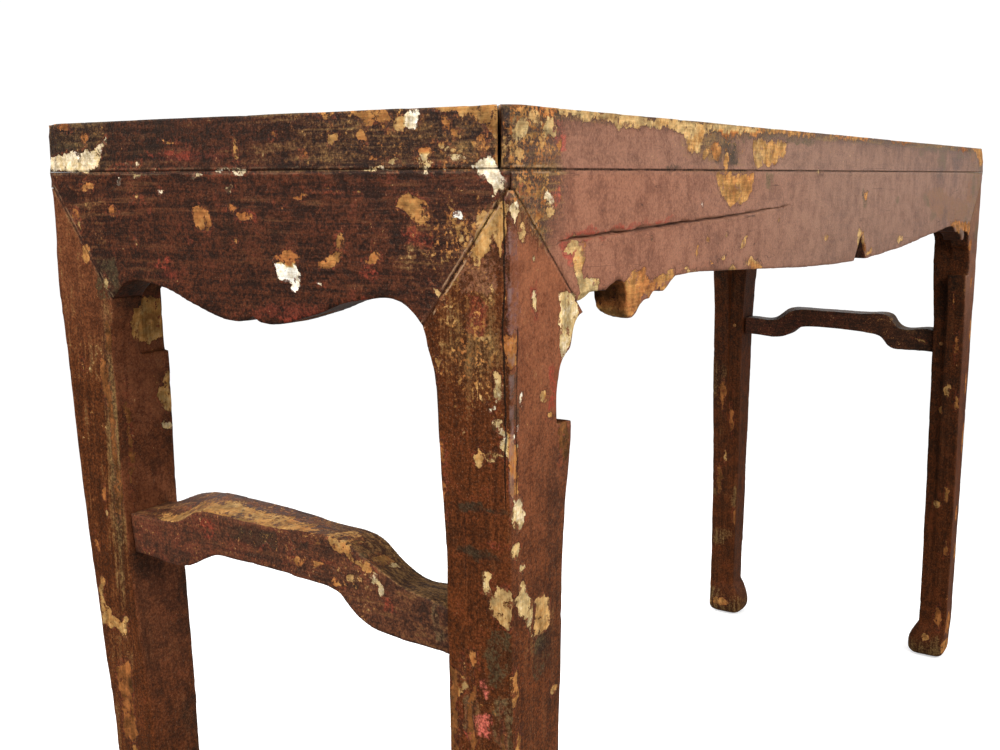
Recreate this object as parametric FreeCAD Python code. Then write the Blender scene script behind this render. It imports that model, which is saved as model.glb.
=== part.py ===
import FreeCAD, Part

import os

# Altar table: a mitred top frame with a floating panel, four aprons mitred onto four corner legs,
# and a humpback stretcher at each short end. All sizes are millimetres.
# X is the length, Y the depth (the front is -Y) and Z is up. The origin is on the floor, under the middle.

# Overall sizes
table_length = 1408.0
table_depth = 424.0
table_height = 850.0

# Top rails and their mitre joints
rail_thickness = 37.0
rail_width = 78.0
mitre_lap = 6.0
open_mitre_gap = 2.5
mitre_tenon_edge = 7.0
mitre_tenon_width = 14.0
mitre_tenon_thickness = 12.0
mitre_tenon_rise = 7.0
mitre_tenon_wall = 12.0
corner_pin_diameter = 6.0
corner_pin_length = 21.0
corner_pin_wall = 5.0

# Floating panel and its battens
panel_thickness = 13.5
panel_edge_gap = 0.5
groove_depth = 10.0
panel_tongue_thickness = 6.0
panel_tongue_rise = 1.5
board_tongue_reach = 6.0
board_tongue_thickness = 4.5
board_tongue_drop = 9.5
batten_width = 44.0
batten_depth = 21.0
batten_tenon_width = 30.0
batten_tenon_thickness = 10.0
batten_tenon_drop = 7.0
batten_tenon_length = 14.0
dovetail_height = 5.0
dovetail_neck = 26.0
dovetail_crown = 32.0
batten_place_shares = (-0.29, 0.0, 0.29)

# Aprons: the carved lower edge starts at the tip where the mitre ends on the leg
apron_thickness = 28.0
mitre_apex_drop = 12.0
short_apex_inset = 3.0
short_tip_inset = 65.0
short_tip_drop = 95.0
short_arch_rise = 15.0
short_belly_drop = 9.0
short_notch_rise = 5.0
long_apex_inset = 3.7
long_tip_inset = 87.5
long_tip_drop = 91.5
long_tip_flat = 13.0
long_arch_rise = 16.7
long_arch_width = 49.0
lobe_width = 82.0
lobe_drop = 11.5
long_belly_drop = 7.0
front_lobe_to_left_leg = 0.0
front_lobe_to_right_leg = 38.0
front_notch_offset = 27.0
centre_notch_width = 48.0
centre_notch_rise = 28.0

# Keys between the aprons and the top rails
key_length = 30.0
key_thickness = 8.0
key_height = 20.0
long_key_place_shares = (-0.25, 0.25)

# Tongues of the aprons in the legs
tongue_length = 14.0
tongue_thickness = 9.0
tongue_top_drop = 48.0
tongue_height = 34.0

# Legs: widths are measured from the outer faces
leg_width = 56.0
leg_shank_top_drop = 141.0
short_foot_width = 45.3
long_foot_width = 45.5
spur_width = 75.5
spur_drop = 160.0
spur_height = 9.0
hoof_height = 58.0
short_hoof_bulge = 18.0
long_hoof_bulge = 9.0
hoof_corner_radius = 18.0
foot_round = 12.0
post_tenon_length = 18.0
long_tenon_width = 12.0
long_tenon_thickness = 10.0
short_tenon_width = 8.0
short_tenon_length = 14.0
tenon_edge = 2.0
back_left_lean = 46.0
lean_start_drop = 95.0

# Stretchers at the short ends: a drop is from the rails' underside down to the underside of the stretcher's end
stretcher_thickness = 39.0
stretcher_recess = 4.5
left_front_drop = 311.0
left_back_drop = 298.0
left_rise = 20.0
right_front_drop = 291.0
right_back_drop = 285.0
right_rise = 23.0
stretcher_height = 34.0
stretcher_tenon_length = 32.0
stretcher_tenon_thickness = 12.0
stretcher_tenon_height = 22.0
stretcher_pin_diameter = 6.0
stretcher_pin_wall = 11.0
stretcher_pin_inset = 14.0

# Clearances
fit = 0.3
end_clearance = 1.0
overrun = 20.0
end_overrun = 10.0
wide_overrun = 60.0

# How far in from its two faces the middle of a quarter round lies, as a share of its radius
quarter_round_share = 0.293

# Outlines as shares: (along, up) of the sizes that each one follows
# Half of the short apron's lower edge: along from the tip to the middle, up by the arch rise (plus) or
# the belly drop (minus)
short_edge_shares = ((0.0, 0.0), (0.05, 0.45), (0.11, 0.85), (0.2, 1.0), (0.33, 0.83), (0.45, 0.6), (0.55, 0.22),
                     (0.65, -0.15), (0.74, -0.58), (0.82, -0.9), (0.88, -1.0), (0.94, -0.93), (0.97, -0.8))
# Wing of a leg below the mitre tip: along from the leg's width to the tip, up from the wing's foot
short_wing_shares = ((1.0, 1.0), (0.87, 0.86), (0.7, 0.68), (0.32, 0.48), (0.12, 0.3), (0.0, 0.0))
long_wing_shares = ((1.0, 1.0), (0.75, 0.9), (0.66, 0.82), (0.5, 0.55), (0.22, 0.42), (0.1, 0.27), (0.0, 0.0))
# Arch beside the long apron's tip: along its width, up by its rise
long_arch_shares = ((0.0, 0.0), (0.12, 0.13), (0.35, 0.6), (0.6, 0.9), (0.8, 1.0), (0.97, 0.8), (1.04, 0.45),
                    (1.0, -0.3))
# Lobe of the long apron: along its width, down by its drop
lobe_shares = ((0.0, 0.6), (0.06, 1.0), (0.2, 0.85), (0.33, 0.2), (0.47, 0.1), (0.56, -0.33), (0.65, -0.3),
               (0.81, -0.38), (0.9, -0.75), (1.0, -1.08))
# Sweep of the long apron from the lobe to the middle: along it, down from its ends to the belly
long_sweep_shares = ((0.0, 0.0), (0.08, 0.0), (0.19, 0.14), (0.38, 0.37), (0.61, 0.7), (0.83, 0.9), (1.0, 1.0))
# Shank of a leg: up from the hoof, and the share of the taper left there
short_taper_shares = ((1.0, 1.0), (0.82, 0.43), (0.65, 0.3), (0.36, 0.18), (0.08, 0.0), (0.0, 0.0))
body_taper_shares = ((1.0, 1.0), (0.82, 0.87), (0.68, 0.75), (0.57, 0.45), (0.45, 0.1), (0.3, 0.0), (0.0, 0.0))
spur_taper_shares = ((1.0, 1.0), (0.93, 0.76), (0.86, 0.63), (0.67, 0.53), (0.42, 0.19), (0.2, 0.03), (0.0, 0.0))
# Hoof: along the bulge, up its height
hoof_shares = ((0.0, 1.0), (0.37, 0.83), (0.7, 0.65), (0.94, 0.47), (1.0, 0.28), (0.94, 0.14), (0.75, 0.045),
               (0.45, 0.0))
# Lean of the back left leg: up from the floor to where it starts, and the share of the foot's shift
lean_shares = ((1.0, 0.0), (0.886, 0.17), (0.763, 0.31), (0.649, 0.49), (0.495, 0.75), (0.258, 0.95),
               (0.082, 1.0), (0.0, 1.0))
# Stretchers: along from the front leg to the back leg, up by the rise. The humps run askew through the wood,
# so a stretcher's outer and inner faces have outlines of their own where they differ
left_outer_top_shares = ((0.0, -0.1), (0.06, 0.1), (0.13, 0.25), (0.18, 0.55), (0.23, 0.85), (0.29, 1.22),
                         (0.36, 1.28), (0.48, 1.1), (0.68, 0.95), (0.74, 0.9), (0.78, 0.68), (0.83, 0.2),
                         (0.87, 0.05), (1.0, -0.03))
left_inner_top_shares = ((0.0, -0.1), (0.098, -0.12), (0.152, -0.15), (0.195, 0.08), (0.223, 0.34), (0.252, 0.72),
                         (0.296, 1.02), (0.342, 1.06), (0.404, 1.05), (0.532, 1.1), (0.703, 1.09), (0.81, 1.01),
                         (0.867, 0.8), (0.925, 0.42), (0.969, 0.12), (1.0, 0.0))
left_outer_foot_shares = ((0.0, -0.02), (0.13, 0.0), (0.18, 0.03), (0.23, 0.12), (0.27, 0.42), (0.32, 1.0),
                          (0.37, 1.05), (0.48, 1.07), (0.65, 1.0), (0.69, 0.97), (0.75, 0.55), (0.81, 0.1),
                          (0.86, 0.03), (1.0, 0.0))
left_inner_foot_shares = ((0.0, -0.02), (0.18, 0.0), (0.23, 0.03), (0.28, 0.12), (0.32, 0.42), (0.37, 1.0),
                          (0.42, 1.05), (0.53, 1.07), (0.73, 1.0), (0.78, 0.9), (0.84, 0.45), (0.9, 0.05),
                          (0.94, -0.05), (1.0, 0.0))
right_outer_top_shares = ((0.0, 0.03), (0.12, 0.02), (0.175, 0.08), (0.2, 0.36), (0.224, 0.84), (0.26, 1.01),
                          (0.32, 0.96), (0.5, 0.89), (0.61, 0.88), (0.72, 0.88), (0.78, 0.76), (0.82, 0.38),
                          (0.857, -0.04), (0.91, -0.16), (1.0, -0.14))
right_inner_top_shares = ((0.0, 0.03), (0.12, 0.02), (0.175, 0.08), (0.2, 0.36), (0.224, 0.84), (0.26, 1.01),
                          (0.32, 0.96), (0.5, 0.89), (0.61, 0.88), (0.68, 0.86), (0.73, 0.72), (0.77, 0.35),
                          (0.81, -0.06), (0.87, -0.16), (1.0, -0.14))
right_foot_shares = ((0.0, 0.0), (0.08, 0.0), (0.163, -0.05), (0.205, 0.0), (0.234, 0.26), (0.263, 0.73),
                     (0.306, 0.92), (0.377, 1.02), (0.49, 1.06), (0.61, 1.06), (0.669, 0.99), (0.714, 0.77),
                     (0.754, 0.3), (0.788, 0.1), (0.865, 0.02), (1.0, 0.0))

# Places worked out from the sizes above
half_length = table_length / 2
half_depth = table_depth / 2
rail_foot = table_height - rail_thickness
panel_foot = table_height - panel_thickness
mitre_apex_height = rail_foot - mitre_apex_drop
short_tip_height = rail_foot - short_tip_drop
long_tip_height = rail_foot - long_tip_drop
shank_top_height = rail_foot - leg_shank_top_drop
spur_top_height = rail_foot - spur_drop
lean_start_height = rail_foot - lean_start_drop
mitre_tenon_foot = rail_foot + mitre_tenon_rise
mitre_tenon_near = rail_width - mitre_tenon_edge - mitre_tenon_width
post_tenon_near = apron_thickness + tenon_edge
corner_pin_inset = post_tenon_near - corner_pin_wall - corner_pin_diameter / 2
tongue_top = rail_foot - tongue_top_drop
tongue_foot = tongue_top - tongue_height
tongue_near = (apron_thickness - tongue_thickness) / 2
left_heights = (rail_foot - left_front_drop, rail_foot - left_back_drop)
right_heights = (rail_foot - right_front_drop, rail_foot - right_back_drop)


def point(x, y, z):
    return FreeCAD.Vector(x, y, z)


def box(x_low, x_high, y_low, y_high, z_low, z_high):
    """A block between two corners."""
    return Part.makeBox(x_high - x_low, y_high - y_low, z_high - z_low, point(x_low, y_low, z_low))


def grown(low, high, clearance):
    """A range made wider by a clearance at both ends."""
    return low - clearance, high + clearance


def plan_prism(corners, z_low, z_high):
    """A prism with a plan outline, from one height to another."""
    wire = Part.makePolygon([point(x, y, z_low) for x, y in corners + corners[:1]])
    return Part.Face(wire).extrude(point(0, 0, z_high - z_low))


def read_shares(height, table):
    """The value that a table of (height, value) gives at a height, in straight steps between its rows."""
    rows = sorted(table)
    if height <= rows[0][0]:
        return rows[0][1]
    for (low, low_value), (high, high_value) in zip(rows, rows[1:]):
        if height <= high:
            return low_value + (high_value - low_value) * (height - low) / (high - low)
    return rows[-1][1]


def edges_along(stretches, place):
    """Edges through an outline's stretches. Each stretch is a kind and its (along, up) points."""
    edges = []
    for kind, spots in stretches:
        spots = [place(along, up) for along, up in spots]
        if kind == "arc":
            edges.append(Part.Arc(*spots).toShape())
        elif kind == "curve":
            curve = Part.BSplineCurve()
            curve.interpolate(spots)
            edges.append(curve.toShape())
        else:
            edges += [Part.makeLine(start, end) for start, end in zip(spots, spots[1:])]
    return edges


def elevation_prism(stretches, place, run):
    """A prism whose outline stands in an upright plane and runs square to it."""
    wire = Part.Wire(edges_along(stretches, place))
    return Part.Face(wire).extrude(run)


def fused(shapes):
    """One solid from shapes that overlap or touch."""
    whole = shapes[0].fuse(shapes[1:])
    return whole.removeSplitter()


# Corner plan: all four corners are drawn at the front left, where the table's outer faces are
# x = -half_length and y = -half_depth, and then mirrored to their places
def corner_x(inset):
    return -half_length + inset


def corner_y(inset):
    return -half_depth + inset


def corner_box(x_range, y_range, z_range):
    """A block at the front left corner, given by insets from the two outer faces."""
    return box(corner_x(x_range[0]), corner_x(x_range[1]), corner_y(y_range[0]), corner_y(y_range[1]), *z_range)


def to_right(shape):
    return shape.mirror(point(0, 0, 0), point(1, 0, 0))


def to_back(shape):
    return shape.mirror(point(0, 0, 0), point(0, 1, 0))


def at_corner(shape, right, back):
    """A front left shape brought to one of the four corners."""
    if right:
        shape = to_right(shape)
    if back:
        shape = to_back(shape)
    return shape


corners = [(right, back) for right in (False, True) for back in (False, True)]


# Joints that two pieces share: a male shape, and the same shape grown for its socket
def mitre_tenon(clearance):
    """Tenon of a long rail that enters the short rail at the front left corner."""
    y_range = grown(mitre_tenon_near, mitre_tenon_near + mitre_tenon_width, clearance)
    z_range = grown(mitre_tenon_foot, mitre_tenon_foot + mitre_tenon_thickness, clearance)
    x_near = mitre_tenon_wall - (end_clearance if clearance else 0)
    return corner_box((x_near, rail_width), y_range, z_range)


def corner_pin(clearance):
    """Upright pin through the mitre tenon at the front left corner, outboard of the post's tenons."""
    centre_y = corner_y(mitre_tenon_near + mitre_tenon_width / 2)
    low, high = grown(rail_foot, rail_foot + corner_pin_length, clearance)
    return Part.makeCylinder(corner_pin_diameter / 2 + clearance, high - low,
                             point(corner_x(corner_pin_inset), centre_y, low))


def post_tenons(clearance):
    """The long and the short tenon on a post: one for the long rail and one for the short rail."""
    end = end_clearance if clearance else 0
    far = leg_width - tenon_edge
    near = post_tenon_near
    long_tenon = corner_box(grown(far - long_tenon_width, far, clearance),
                            grown(near, near + long_tenon_thickness, clearance),
                            (rail_foot - clearance, rail_foot + post_tenon_length + end))
    short_tenon = corner_box(grown(near, near + short_tenon_width, clearance),
                             grown(far - short_tenon_width, far, clearance),
                             (rail_foot - clearance, rail_foot + short_tenon_length + end))
    return [long_tenon, short_tenon]


def mitre_line(height, apex_inset, tip_inset, tip_height):
    """How far from the corner the mitre between leg and apron lies at a height."""
    return apex_inset + (tip_inset - apex_inset) * (mitre_apex_height - height) / (mitre_apex_height - tip_height)


def short_mitre(height):
    return mitre_line(height, short_apex_inset, short_tip_inset, short_tip_height)


def long_mitre(height):
    return mitre_line(height, long_apex_inset, long_tip_inset, long_tip_height)


def tongue(mitre, place, run, clearance):
    """Slanted tongue on an apron's mitred end, which slides into the leg's head."""
    low, high = grown(tongue_foot, tongue_top, clearance)
    reach = tongue_length + (end_clearance if clearance else 0)
    corner_points = [(mitre(low) - reach, low), (mitre(low) + overrun, low), (mitre(high) + overrun, high),
                     (mitre(high) - reach, high)]
    return elevation_prism([("line", corner_points + corner_points[:1])], place, run)


def short_tongue(clearance):
    near, far = grown(tongue_near, tongue_near + tongue_thickness, clearance)
    return tongue(short_mitre, lambda along, up: point(corner_x(near), corner_y(along), up),
                  point(far - near, 0, 0), clearance)


def long_tongue(clearance):
    near, far = grown(tongue_near, tongue_near + tongue_thickness, clearance)
    return tongue(long_mitre, lambda along, up: point(corner_x(along), corner_y(near), up),
                  point(0, far - near, 0), clearance)


def keys(clearance):
    """Loose tenons, half in an apron's top edge and half in the rail above it."""
    end = end_clearance if clearance else 0
    half_key = key_length / 2
    middle = apron_thickness / 2
    z_range = (rail_foot - key_height / 2 - end, rail_foot + key_height / 2 + end)
    shapes = []
    for share in long_key_place_shares:
        x_range = grown(share * table_length - half_key, share * table_length + half_key, clearance)
        y_range = grown(corner_y(middle - key_thickness / 2), corner_y(middle + key_thickness / 2), clearance)
        front = box(*x_range, *y_range, *z_range)
        shapes += [front, to_back(front)]
    x_range = grown(corner_x(middle - key_thickness / 2), corner_x(middle + key_thickness / 2), clearance)
    left = box(*x_range, *grown(-half_key, half_key, clearance), *z_range)
    return shapes + [left, to_right(left)]


def batten_places():
    return [share * table_length for share in batten_place_shares]


def dovetail(x_middle, y_reach, clearance):
    """Dovetail ridge along a batten's top, which slides into the panel boards."""
    neck = dovetail_neck / 2 + clearance
    crown = dovetail_crown / 2 + clearance
    top = panel_foot + dovetail_height + clearance
    outline = [(x_middle - neck, panel_foot), (x_middle + neck, panel_foot), (x_middle + crown, top),
               (x_middle - crown, top), (x_middle - neck, panel_foot)]
    return elevation_prism([("line", outline)], lambda along, up: point(along, -y_reach, up),
                           point(0, 2 * y_reach, 0))


def batten_tenons(x_middle, clearance):
    """A batten's two tenons as one bar that reaches into both long rails."""
    end = end_clearance if clearance else 0
    reach = half_depth - rail_width + batten_tenon_length + end
    half_width = batten_tenon_width / 2
    z_high = panel_foot - batten_tenon_drop
    return box(*grown(x_middle - half_width, x_middle + half_width, clearance), -reach, reach,
               *grown(z_high - batten_tenon_thickness, z_high, clearance))


# Top frame
def panel_groove():
    """Space that the grooves and the opening of the four rails leave for the panel's tongue."""
    x_reach = half_length - rail_width + groove_depth
    y_reach = half_depth - rail_width + groove_depth
    tongue_low = panel_foot + panel_tongue_rise
    return box(-x_reach, x_reach, -y_reach, y_reach, *grown(tongue_low, tongue_low + panel_tongue_thickness, fit))


def long_rail():
    """Front rail: its mitred ends carry the tenons."""
    lap = mitre_lap
    outline = [(corner_x(0), corner_y(0)), (-corner_x(0), corner_y(0)), (-corner_x(0), corner_y(lap)),
               (-corner_x(rail_width), corner_y(rail_width)), (corner_x(rail_width), corner_y(rail_width)),
               (corner_x(0), corner_y(lap))]
    blank = plan_prism(outline, rail_foot, table_height)
    blank = fused([blank, mitre_tenon(0), to_right(mitre_tenon(0))])
    sockets = [panel_groove()] + keys(fit) + [batten_tenons(x_middle, fit) for x_middle in batten_places()]
    for right in (False, True):
        sockets += [at_corner(shape, right, False) for shape in post_tenons(fit) + [corner_pin(fit)]]
    return blank.cut(sockets)


def short_rail(front_gap):
    """Left rail, between the two long ones. Its front mitre may stand open at the outer face."""
    outline = [(corner_x(0), corner_y(mitre_lap + front_gap)), (corner_x(rail_width), corner_y(rail_width)),
               (corner_x(rail_width), -corner_y(rail_width)), (corner_x(0), -corner_y(mitre_lap))]
    blank = plan_prism(outline, rail_foot, table_height)
    sockets = [panel_groove()] + keys(fit)
    for back in (False, True):
        shapes = post_tenons(fit) + [corner_pin(fit), mitre_tenon(fit)]
        sockets += [at_corner(shape, False, back) for shape in shapes]
    return blank.cut(sockets)


# Panel
def panel_board(back):
    """One of two boards: a shouldered edge with a tongue in the rails' groove."""
    x_inner = half_length - rail_width - panel_edge_gap
    y_inner = half_depth - rail_width - panel_edge_gap
    x_tongue = half_length - rail_width + groove_depth - end_clearance
    y_tongue = half_depth - rail_width + groove_depth - end_clearance
    tongue_low = panel_foot + panel_tongue_rise
    board = fused([box(-x_inner, x_inner, -y_inner, 0, panel_foot, table_height),
                   box(-x_tongue, x_tongue, -y_tongue, 0, tongue_low, tongue_low + panel_tongue_thickness)])
    joint_foot = table_height - board_tongue_drop
    joint_range = (joint_foot, joint_foot + board_tongue_thickness)
    if back:
        board = to_back(board).cut(box(-x_inner, x_inner, -overrun, board_tongue_reach + end_clearance,
                                       *grown(*joint_range, fit)))
    else:
        board = fused([board, box(-x_inner + end_clearance, x_inner - end_clearance, -board_tongue_reach,
                                  board_tongue_reach, *joint_range)])
    return board.cut([dovetail(x_middle, half_depth, fit) for x_middle in batten_places()])


def batten(x_middle):
    """Cross batten under the panel."""
    half_width = batten_width / 2
    y_inner = half_depth - rail_width
    bar = box(x_middle - half_width, x_middle + half_width, -y_inner, y_inner,
              panel_foot - batten_depth, panel_foot)
    return fused([bar, batten_tenons(x_middle, 0), dovetail(x_middle, y_inner - panel_edge_gap, 0)])


# Aprons
def short_lower_edge():
    """Half of the short apron's lower edge: a point list from the tip to the notch at the middle."""
    run = half_depth - short_tip_inset
    spots = []
    for along, up in short_edge_shares:
        rise = short_arch_rise if up > 0 else short_belly_drop
        spots.append((short_tip_inset + run * along, short_tip_height + up * rise))
    notch = (half_depth, short_tip_height - short_belly_drop + short_notch_rise)
    return spots, notch


def short_apron():
    """Left apron: carved lower edge, mitred ends with tongues."""
    spots, notch = short_lower_edge()
    apex = (short_apex_inset, mitre_apex_height)
    near_half = [("line", [(0, rail_foot), (0, mitre_apex_height), apex, spots[0]]), ("curve", spots),
                 ("line", [spots[-1], notch])]
    far_half = mirrored_stretches(near_half, table_depth)
    top = [("line", [(table_depth, rail_foot), (0, rail_foot)])]
    blank = elevation_prism(near_half + far_half + top, lambda along, up: point(corner_x(0), corner_y(along), up),
                            point(apron_thickness, 0, 0))
    blank = blank.cut(ends_of_diagonal("short"))
    tongues = [short_tongue(0), to_back(short_tongue(0))]
    limits = box(corner_x(0), corner_x(apron_thickness), corner_y(0), -corner_y(0), tongue_foot, tongue_top)
    return fused([blank] + [shape.common(limits) for shape in tongues]).cut(keys(fit))


def mirrored_stretches(stretches, length):
    """The same stretches seen from the other end, in reverse order."""
    return [(kind, [(length - along, up) for along, up in reversed(spots)]) for kind, spots in reversed(stretches)]


def ends_of_diagonal(side):
    """Wedges behind the diagonal that two aprons share at each corner, cut from the apron of one side."""
    reach = apron_thickness + overrun
    tip = (corner_x(reach), corner_y(0)) if side == "short" else (corner_x(0), corner_y(reach))
    wedge = plan_prism([(corner_x(0), corner_y(0)), tip, (corner_x(reach), corner_y(reach))],
                       tongue_top, table_height)
    other = to_back(wedge) if side == "short" else to_right(wedge)
    return [wedge, other]


def long_end_stretches(lobe_shift):
    """Lower edge of the long apron from its upper corner to the end of the lobe beside the leg."""
    tip_end = long_tip_inset + long_tip_flat
    arch_width = long_arch_width - lobe_shift
    arch = [(tip_end + arch_width * along, long_tip_height + long_arch_rise * up)
            for along, up in long_arch_shares]
    lobe_start = tip_end + arch_width
    lobe = [(lobe_start + lobe_width * along, long_tip_height - lobe_drop * down) for along, down in lobe_shares]
    return [("line", [(0, rail_foot), (0, mitre_apex_height), (long_apex_inset, mitre_apex_height),
                      (long_tip_inset, long_tip_height), arch[0]]),
            ("curve", arch), ("line", [arch[-1], lobe[0]]), ("curve", lobe[:3]), ("curve", lobe[2:5]),
            ("curve", lobe[4:8]), ("curve", lobe[7:])]


def sweep_stretch(start, end):
    """Long shallow sweep from a lobe down to the belly beside the middle notch."""
    drop = start[1] - end[1]
    return [("curve", [(start[0] + (end[0] - start[0]) * along, start[1] - drop * down)
                       for along, down in long_sweep_shares])]


def long_apron(left_shift, right_shift, notch_offset):
    """Front apron: a lobe beside each leg, a shallow sweep between them and a notch near the middle."""
    left_end = long_end_stretches(left_shift)
    right_end = mirrored_stretches(long_end_stretches(right_shift), table_length)
    belly_height = long_tip_height - long_belly_drop
    notch = half_length + notch_offset
    notch_left = (notch - centre_notch_width / 2, belly_height)
    notch_right = (notch + centre_notch_width / 2, belly_height)
    left_sweep = sweep_stretch(left_end[-1][1][-1], notch_left)
    right_sweep = mirrored_stretches(sweep_stretch((table_length - right_end[0][1][0][0], right_end[0][1][0][1]),
                                                   (table_length - notch_right[0], belly_height)), table_length)
    notch_lines = [("line", [notch_left, (notch, belly_height + centre_notch_rise), notch_right])]
    top = [("line", [(table_length, rail_foot), (0, rail_foot)])]
    outline = left_end + left_sweep + notch_lines + right_sweep + right_end + top
    blank = elevation_prism(outline, lambda along, up: point(corner_x(along), corner_y(0), up),
                            point(0, apron_thickness, 0))
    blank = blank.cut(ends_of_diagonal("long"))
    tongues = [long_tongue(0), to_right(long_tongue(0))]
    limits = box(corner_x(0), -corner_x(0), corner_y(0), corner_y(apron_thickness), tongue_foot, tongue_top)
    return fused([blank] + [shape.common(limits) for shape in tongues]).cut(keys(fit))


# Legs
def lean_at(height, lean):
    """How far inward the leaning leg's middle has moved at a height."""
    return lean * read_shares(height / lean_start_height, lean_shares)


def shank(top_height, top_width, foot_width, table):
    """Inner edge of a leg from a height down to the hoof, with points close enough to carry the lean."""
    run = top_height - hoof_height
    heights = {hoof_height + run * share for share, left in table}
    heights |= {lean_start_height * share for share, left in lean_shares}
    spots = []
    for height in sorted((h for h in heights if hoof_height <= h <= top_height), reverse=True):
        left = read_shares((height - hoof_height) / run, table)
        spots.append((foot_width + (top_width - foot_width) * left, height))
    return spots


def hoof(foot_width, bulge):
    """Inner edge of the hoof, from its top to the floor."""
    return [(foot_width + bulge * along, hoof_height * up) for along, up in hoof_shares]


def leg_outline(head, inner_edge, toe, lean):
    """Closed outline of a leg from one side: head points, inner edge, hoof, floor and outer face."""
    round_middle = foot_round * quarter_round_share
    outer = [(0, height) for height in (lean_start_height * share for share, value in reversed(lean_shares))
             if height > foot_round]
    outer_points = [(0, foot_round)] + outer
    outer_edge = [("curve" if lean else "line", outer_points if lean else [outer_points[0], outer_points[-1]])]
    return (head + inner_edge + [("curve", toe), ("line", [toe[-1], (foot_round, 0)]),
            ("arc", [(foot_round, 0), (round_middle, round_middle), (0, foot_round)])] + outer_edge
            + [("line", [outer_points[-1], (0, head_top(head))])])


def head_top(head):
    return head[0][1][0][1]


def wing(shares, tip, foot):
    """Curved underside of a leg's wing, from the mitre's tip to the shank."""
    return [("curve", [(foot[0] + (tip[0] - foot[0]) * along, foot[1] + (tip[1] - foot[1]) * up)
                       for along, up in shares])]


def short_leg_prism(lean):
    """The leg's shape as seen on the short face, run through along X."""
    edge = shank(shank_top_height, leg_width, short_foot_width, short_taper_shares)
    tip = (short_tip_inset, short_tip_height)
    head = [("line", [(0, mitre_apex_height), (short_apex_inset, mitre_apex_height), tip])]
    head += wing(short_wing_shares, tip, edge[0])
    outline = leg_outline(head, [("curve", edge)], hoof(short_foot_width, short_hoof_bulge), lean)
    return elevation_prism(outline, lambda along, up: point(corner_x(0), corner_y(along + lean_at(up, lean)), up),
                           point(long_tip_inset + overrun, 0, 0))


def long_leg_prism():
    """The leg's shape as seen on the long face, run through along Y: wing, then spur, then shank."""
    tip = (long_tip_inset, long_tip_height)
    wing_foot = (leg_width, shank_top_height)
    edge = shank(spur_top_height - spur_height, spur_width, long_foot_width, spur_taper_shares)
    head = [("line", [(0, mitre_apex_height), (long_apex_inset, mitre_apex_height), tip])]
    head += wing(long_wing_shares, tip, wing_foot)
    head += [("line", [wing_foot, (leg_width, spur_top_height), (spur_width, spur_top_height), edge[0]])]
    outline = leg_outline(head, [("curve", edge)], hoof(long_foot_width, long_hoof_bulge), 0)
    return elevation_prism(outline, lambda along, up: point(corner_x(along), corner_y(-overrun), up),
                           point(0, short_tip_inset + back_left_lean + wide_overrun, 0))


def body_limits():
    """Space of the leg's body behind the layers that hold its wings and spur."""
    edge = shank(shank_top_height, leg_width, long_foot_width, body_taper_shares)
    reach = long_tip_inset + overrun
    outline = [("line", [(-overrun, rail_foot), (leg_width, rail_foot), edge[0]]), ("curve", edge),
               ("line", [edge[-1], (reach, hoof_height), (reach, -overrun), (-overrun, -overrun),
                         (-overrun, rail_foot)])]
    prism = elevation_prism(outline, lambda along, up: point(corner_x(along), corner_y(-overrun), up),
                            point(0, short_tip_inset + back_left_lean + wide_overrun, 0))
    return prism.cut(corner_box((-wide_overrun, reach), (leg_width, reach + back_left_lean + wide_overrun),
                                (shank_top_height, rail_foot + overrun)))


def face_layer(lean):
    """Space of the layer behind the long face that holds the wing and the spur, as thick as the apron."""
    heights = [lean_start_height * share for share, value in lean_shares]
    inner = [(apron_thickness, height) for height in heights]
    outline = [("line", [(-overrun, -overrun), (-overrun, rail_foot), (apron_thickness, rail_foot), inner[0]]),
               ("curve", inner) if lean else ("line", [inner[0], inner[-1]]),
               ("line", [inner[-1], (apron_thickness, -overrun), (-overrun, -overrun)])]
    return elevation_prism(outline,
                           lambda along, up: point(corner_x(-overrun), corner_y(along + lean_at(up, lean)), up),
                           point(long_tip_inset + wide_overrun, 0, 0))


def hoof_corner(lean):
    """What rounds the hoof's inner corner: a square block less its quarter circle."""
    x_centre = long_foot_width + long_hoof_bulge - hoof_corner_radius
    y_centre = short_foot_width + short_hoof_bulge - hoof_corner_radius
    x_range = (x_centre, x_centre + hoof_corner_radius + overrun)
    y_range = (y_centre, y_centre + hoof_corner_radius + overrun)
    round_part = Part.makeCylinder(hoof_corner_radius, hoof_height + wide_overrun,
                                   point(corner_x(x_centre), corner_y(y_centre), -overrun))
    trim = corner_box(x_range, y_range, (-overrun, hoof_height)).cut(round_part)
    trim.translate(point(0, lean, 0))
    return trim


def plain_leg(lean):
    """Front left leg before its sockets are cut: wings and spur on thin layers, body and post behind them."""
    side_layer = corner_box((-overrun, apron_thickness), (-overrun, short_tip_inset + overrun),
                            (shank_top_height, rail_foot))
    layers = body_limits().fuse([face_layer(lean), side_layer])
    leg = long_leg_prism().common(short_leg_prism(lean)).common(layers)
    post = corner_box((apron_thickness, leg_width), (apron_thickness, leg_width), (shank_top_height, rail_foot))
    return fused([leg, post]).cut(hoof_corner(lean))


def leg_sockets(end, lean):
    """What is cut from a leg: two tongue sockets, and the socket and pin hole of a stretcher's end."""
    return [short_tongue(fit), long_tongue(fit)] + stretcher_joint(end, lean, fit)


def leg(end, lean):
    """Leg with tenons on top and its sockets cut, at the front left corner."""
    return fused([plain_leg(lean)] + post_tenons(0)).cut(leg_sockets(end, lean))


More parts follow.
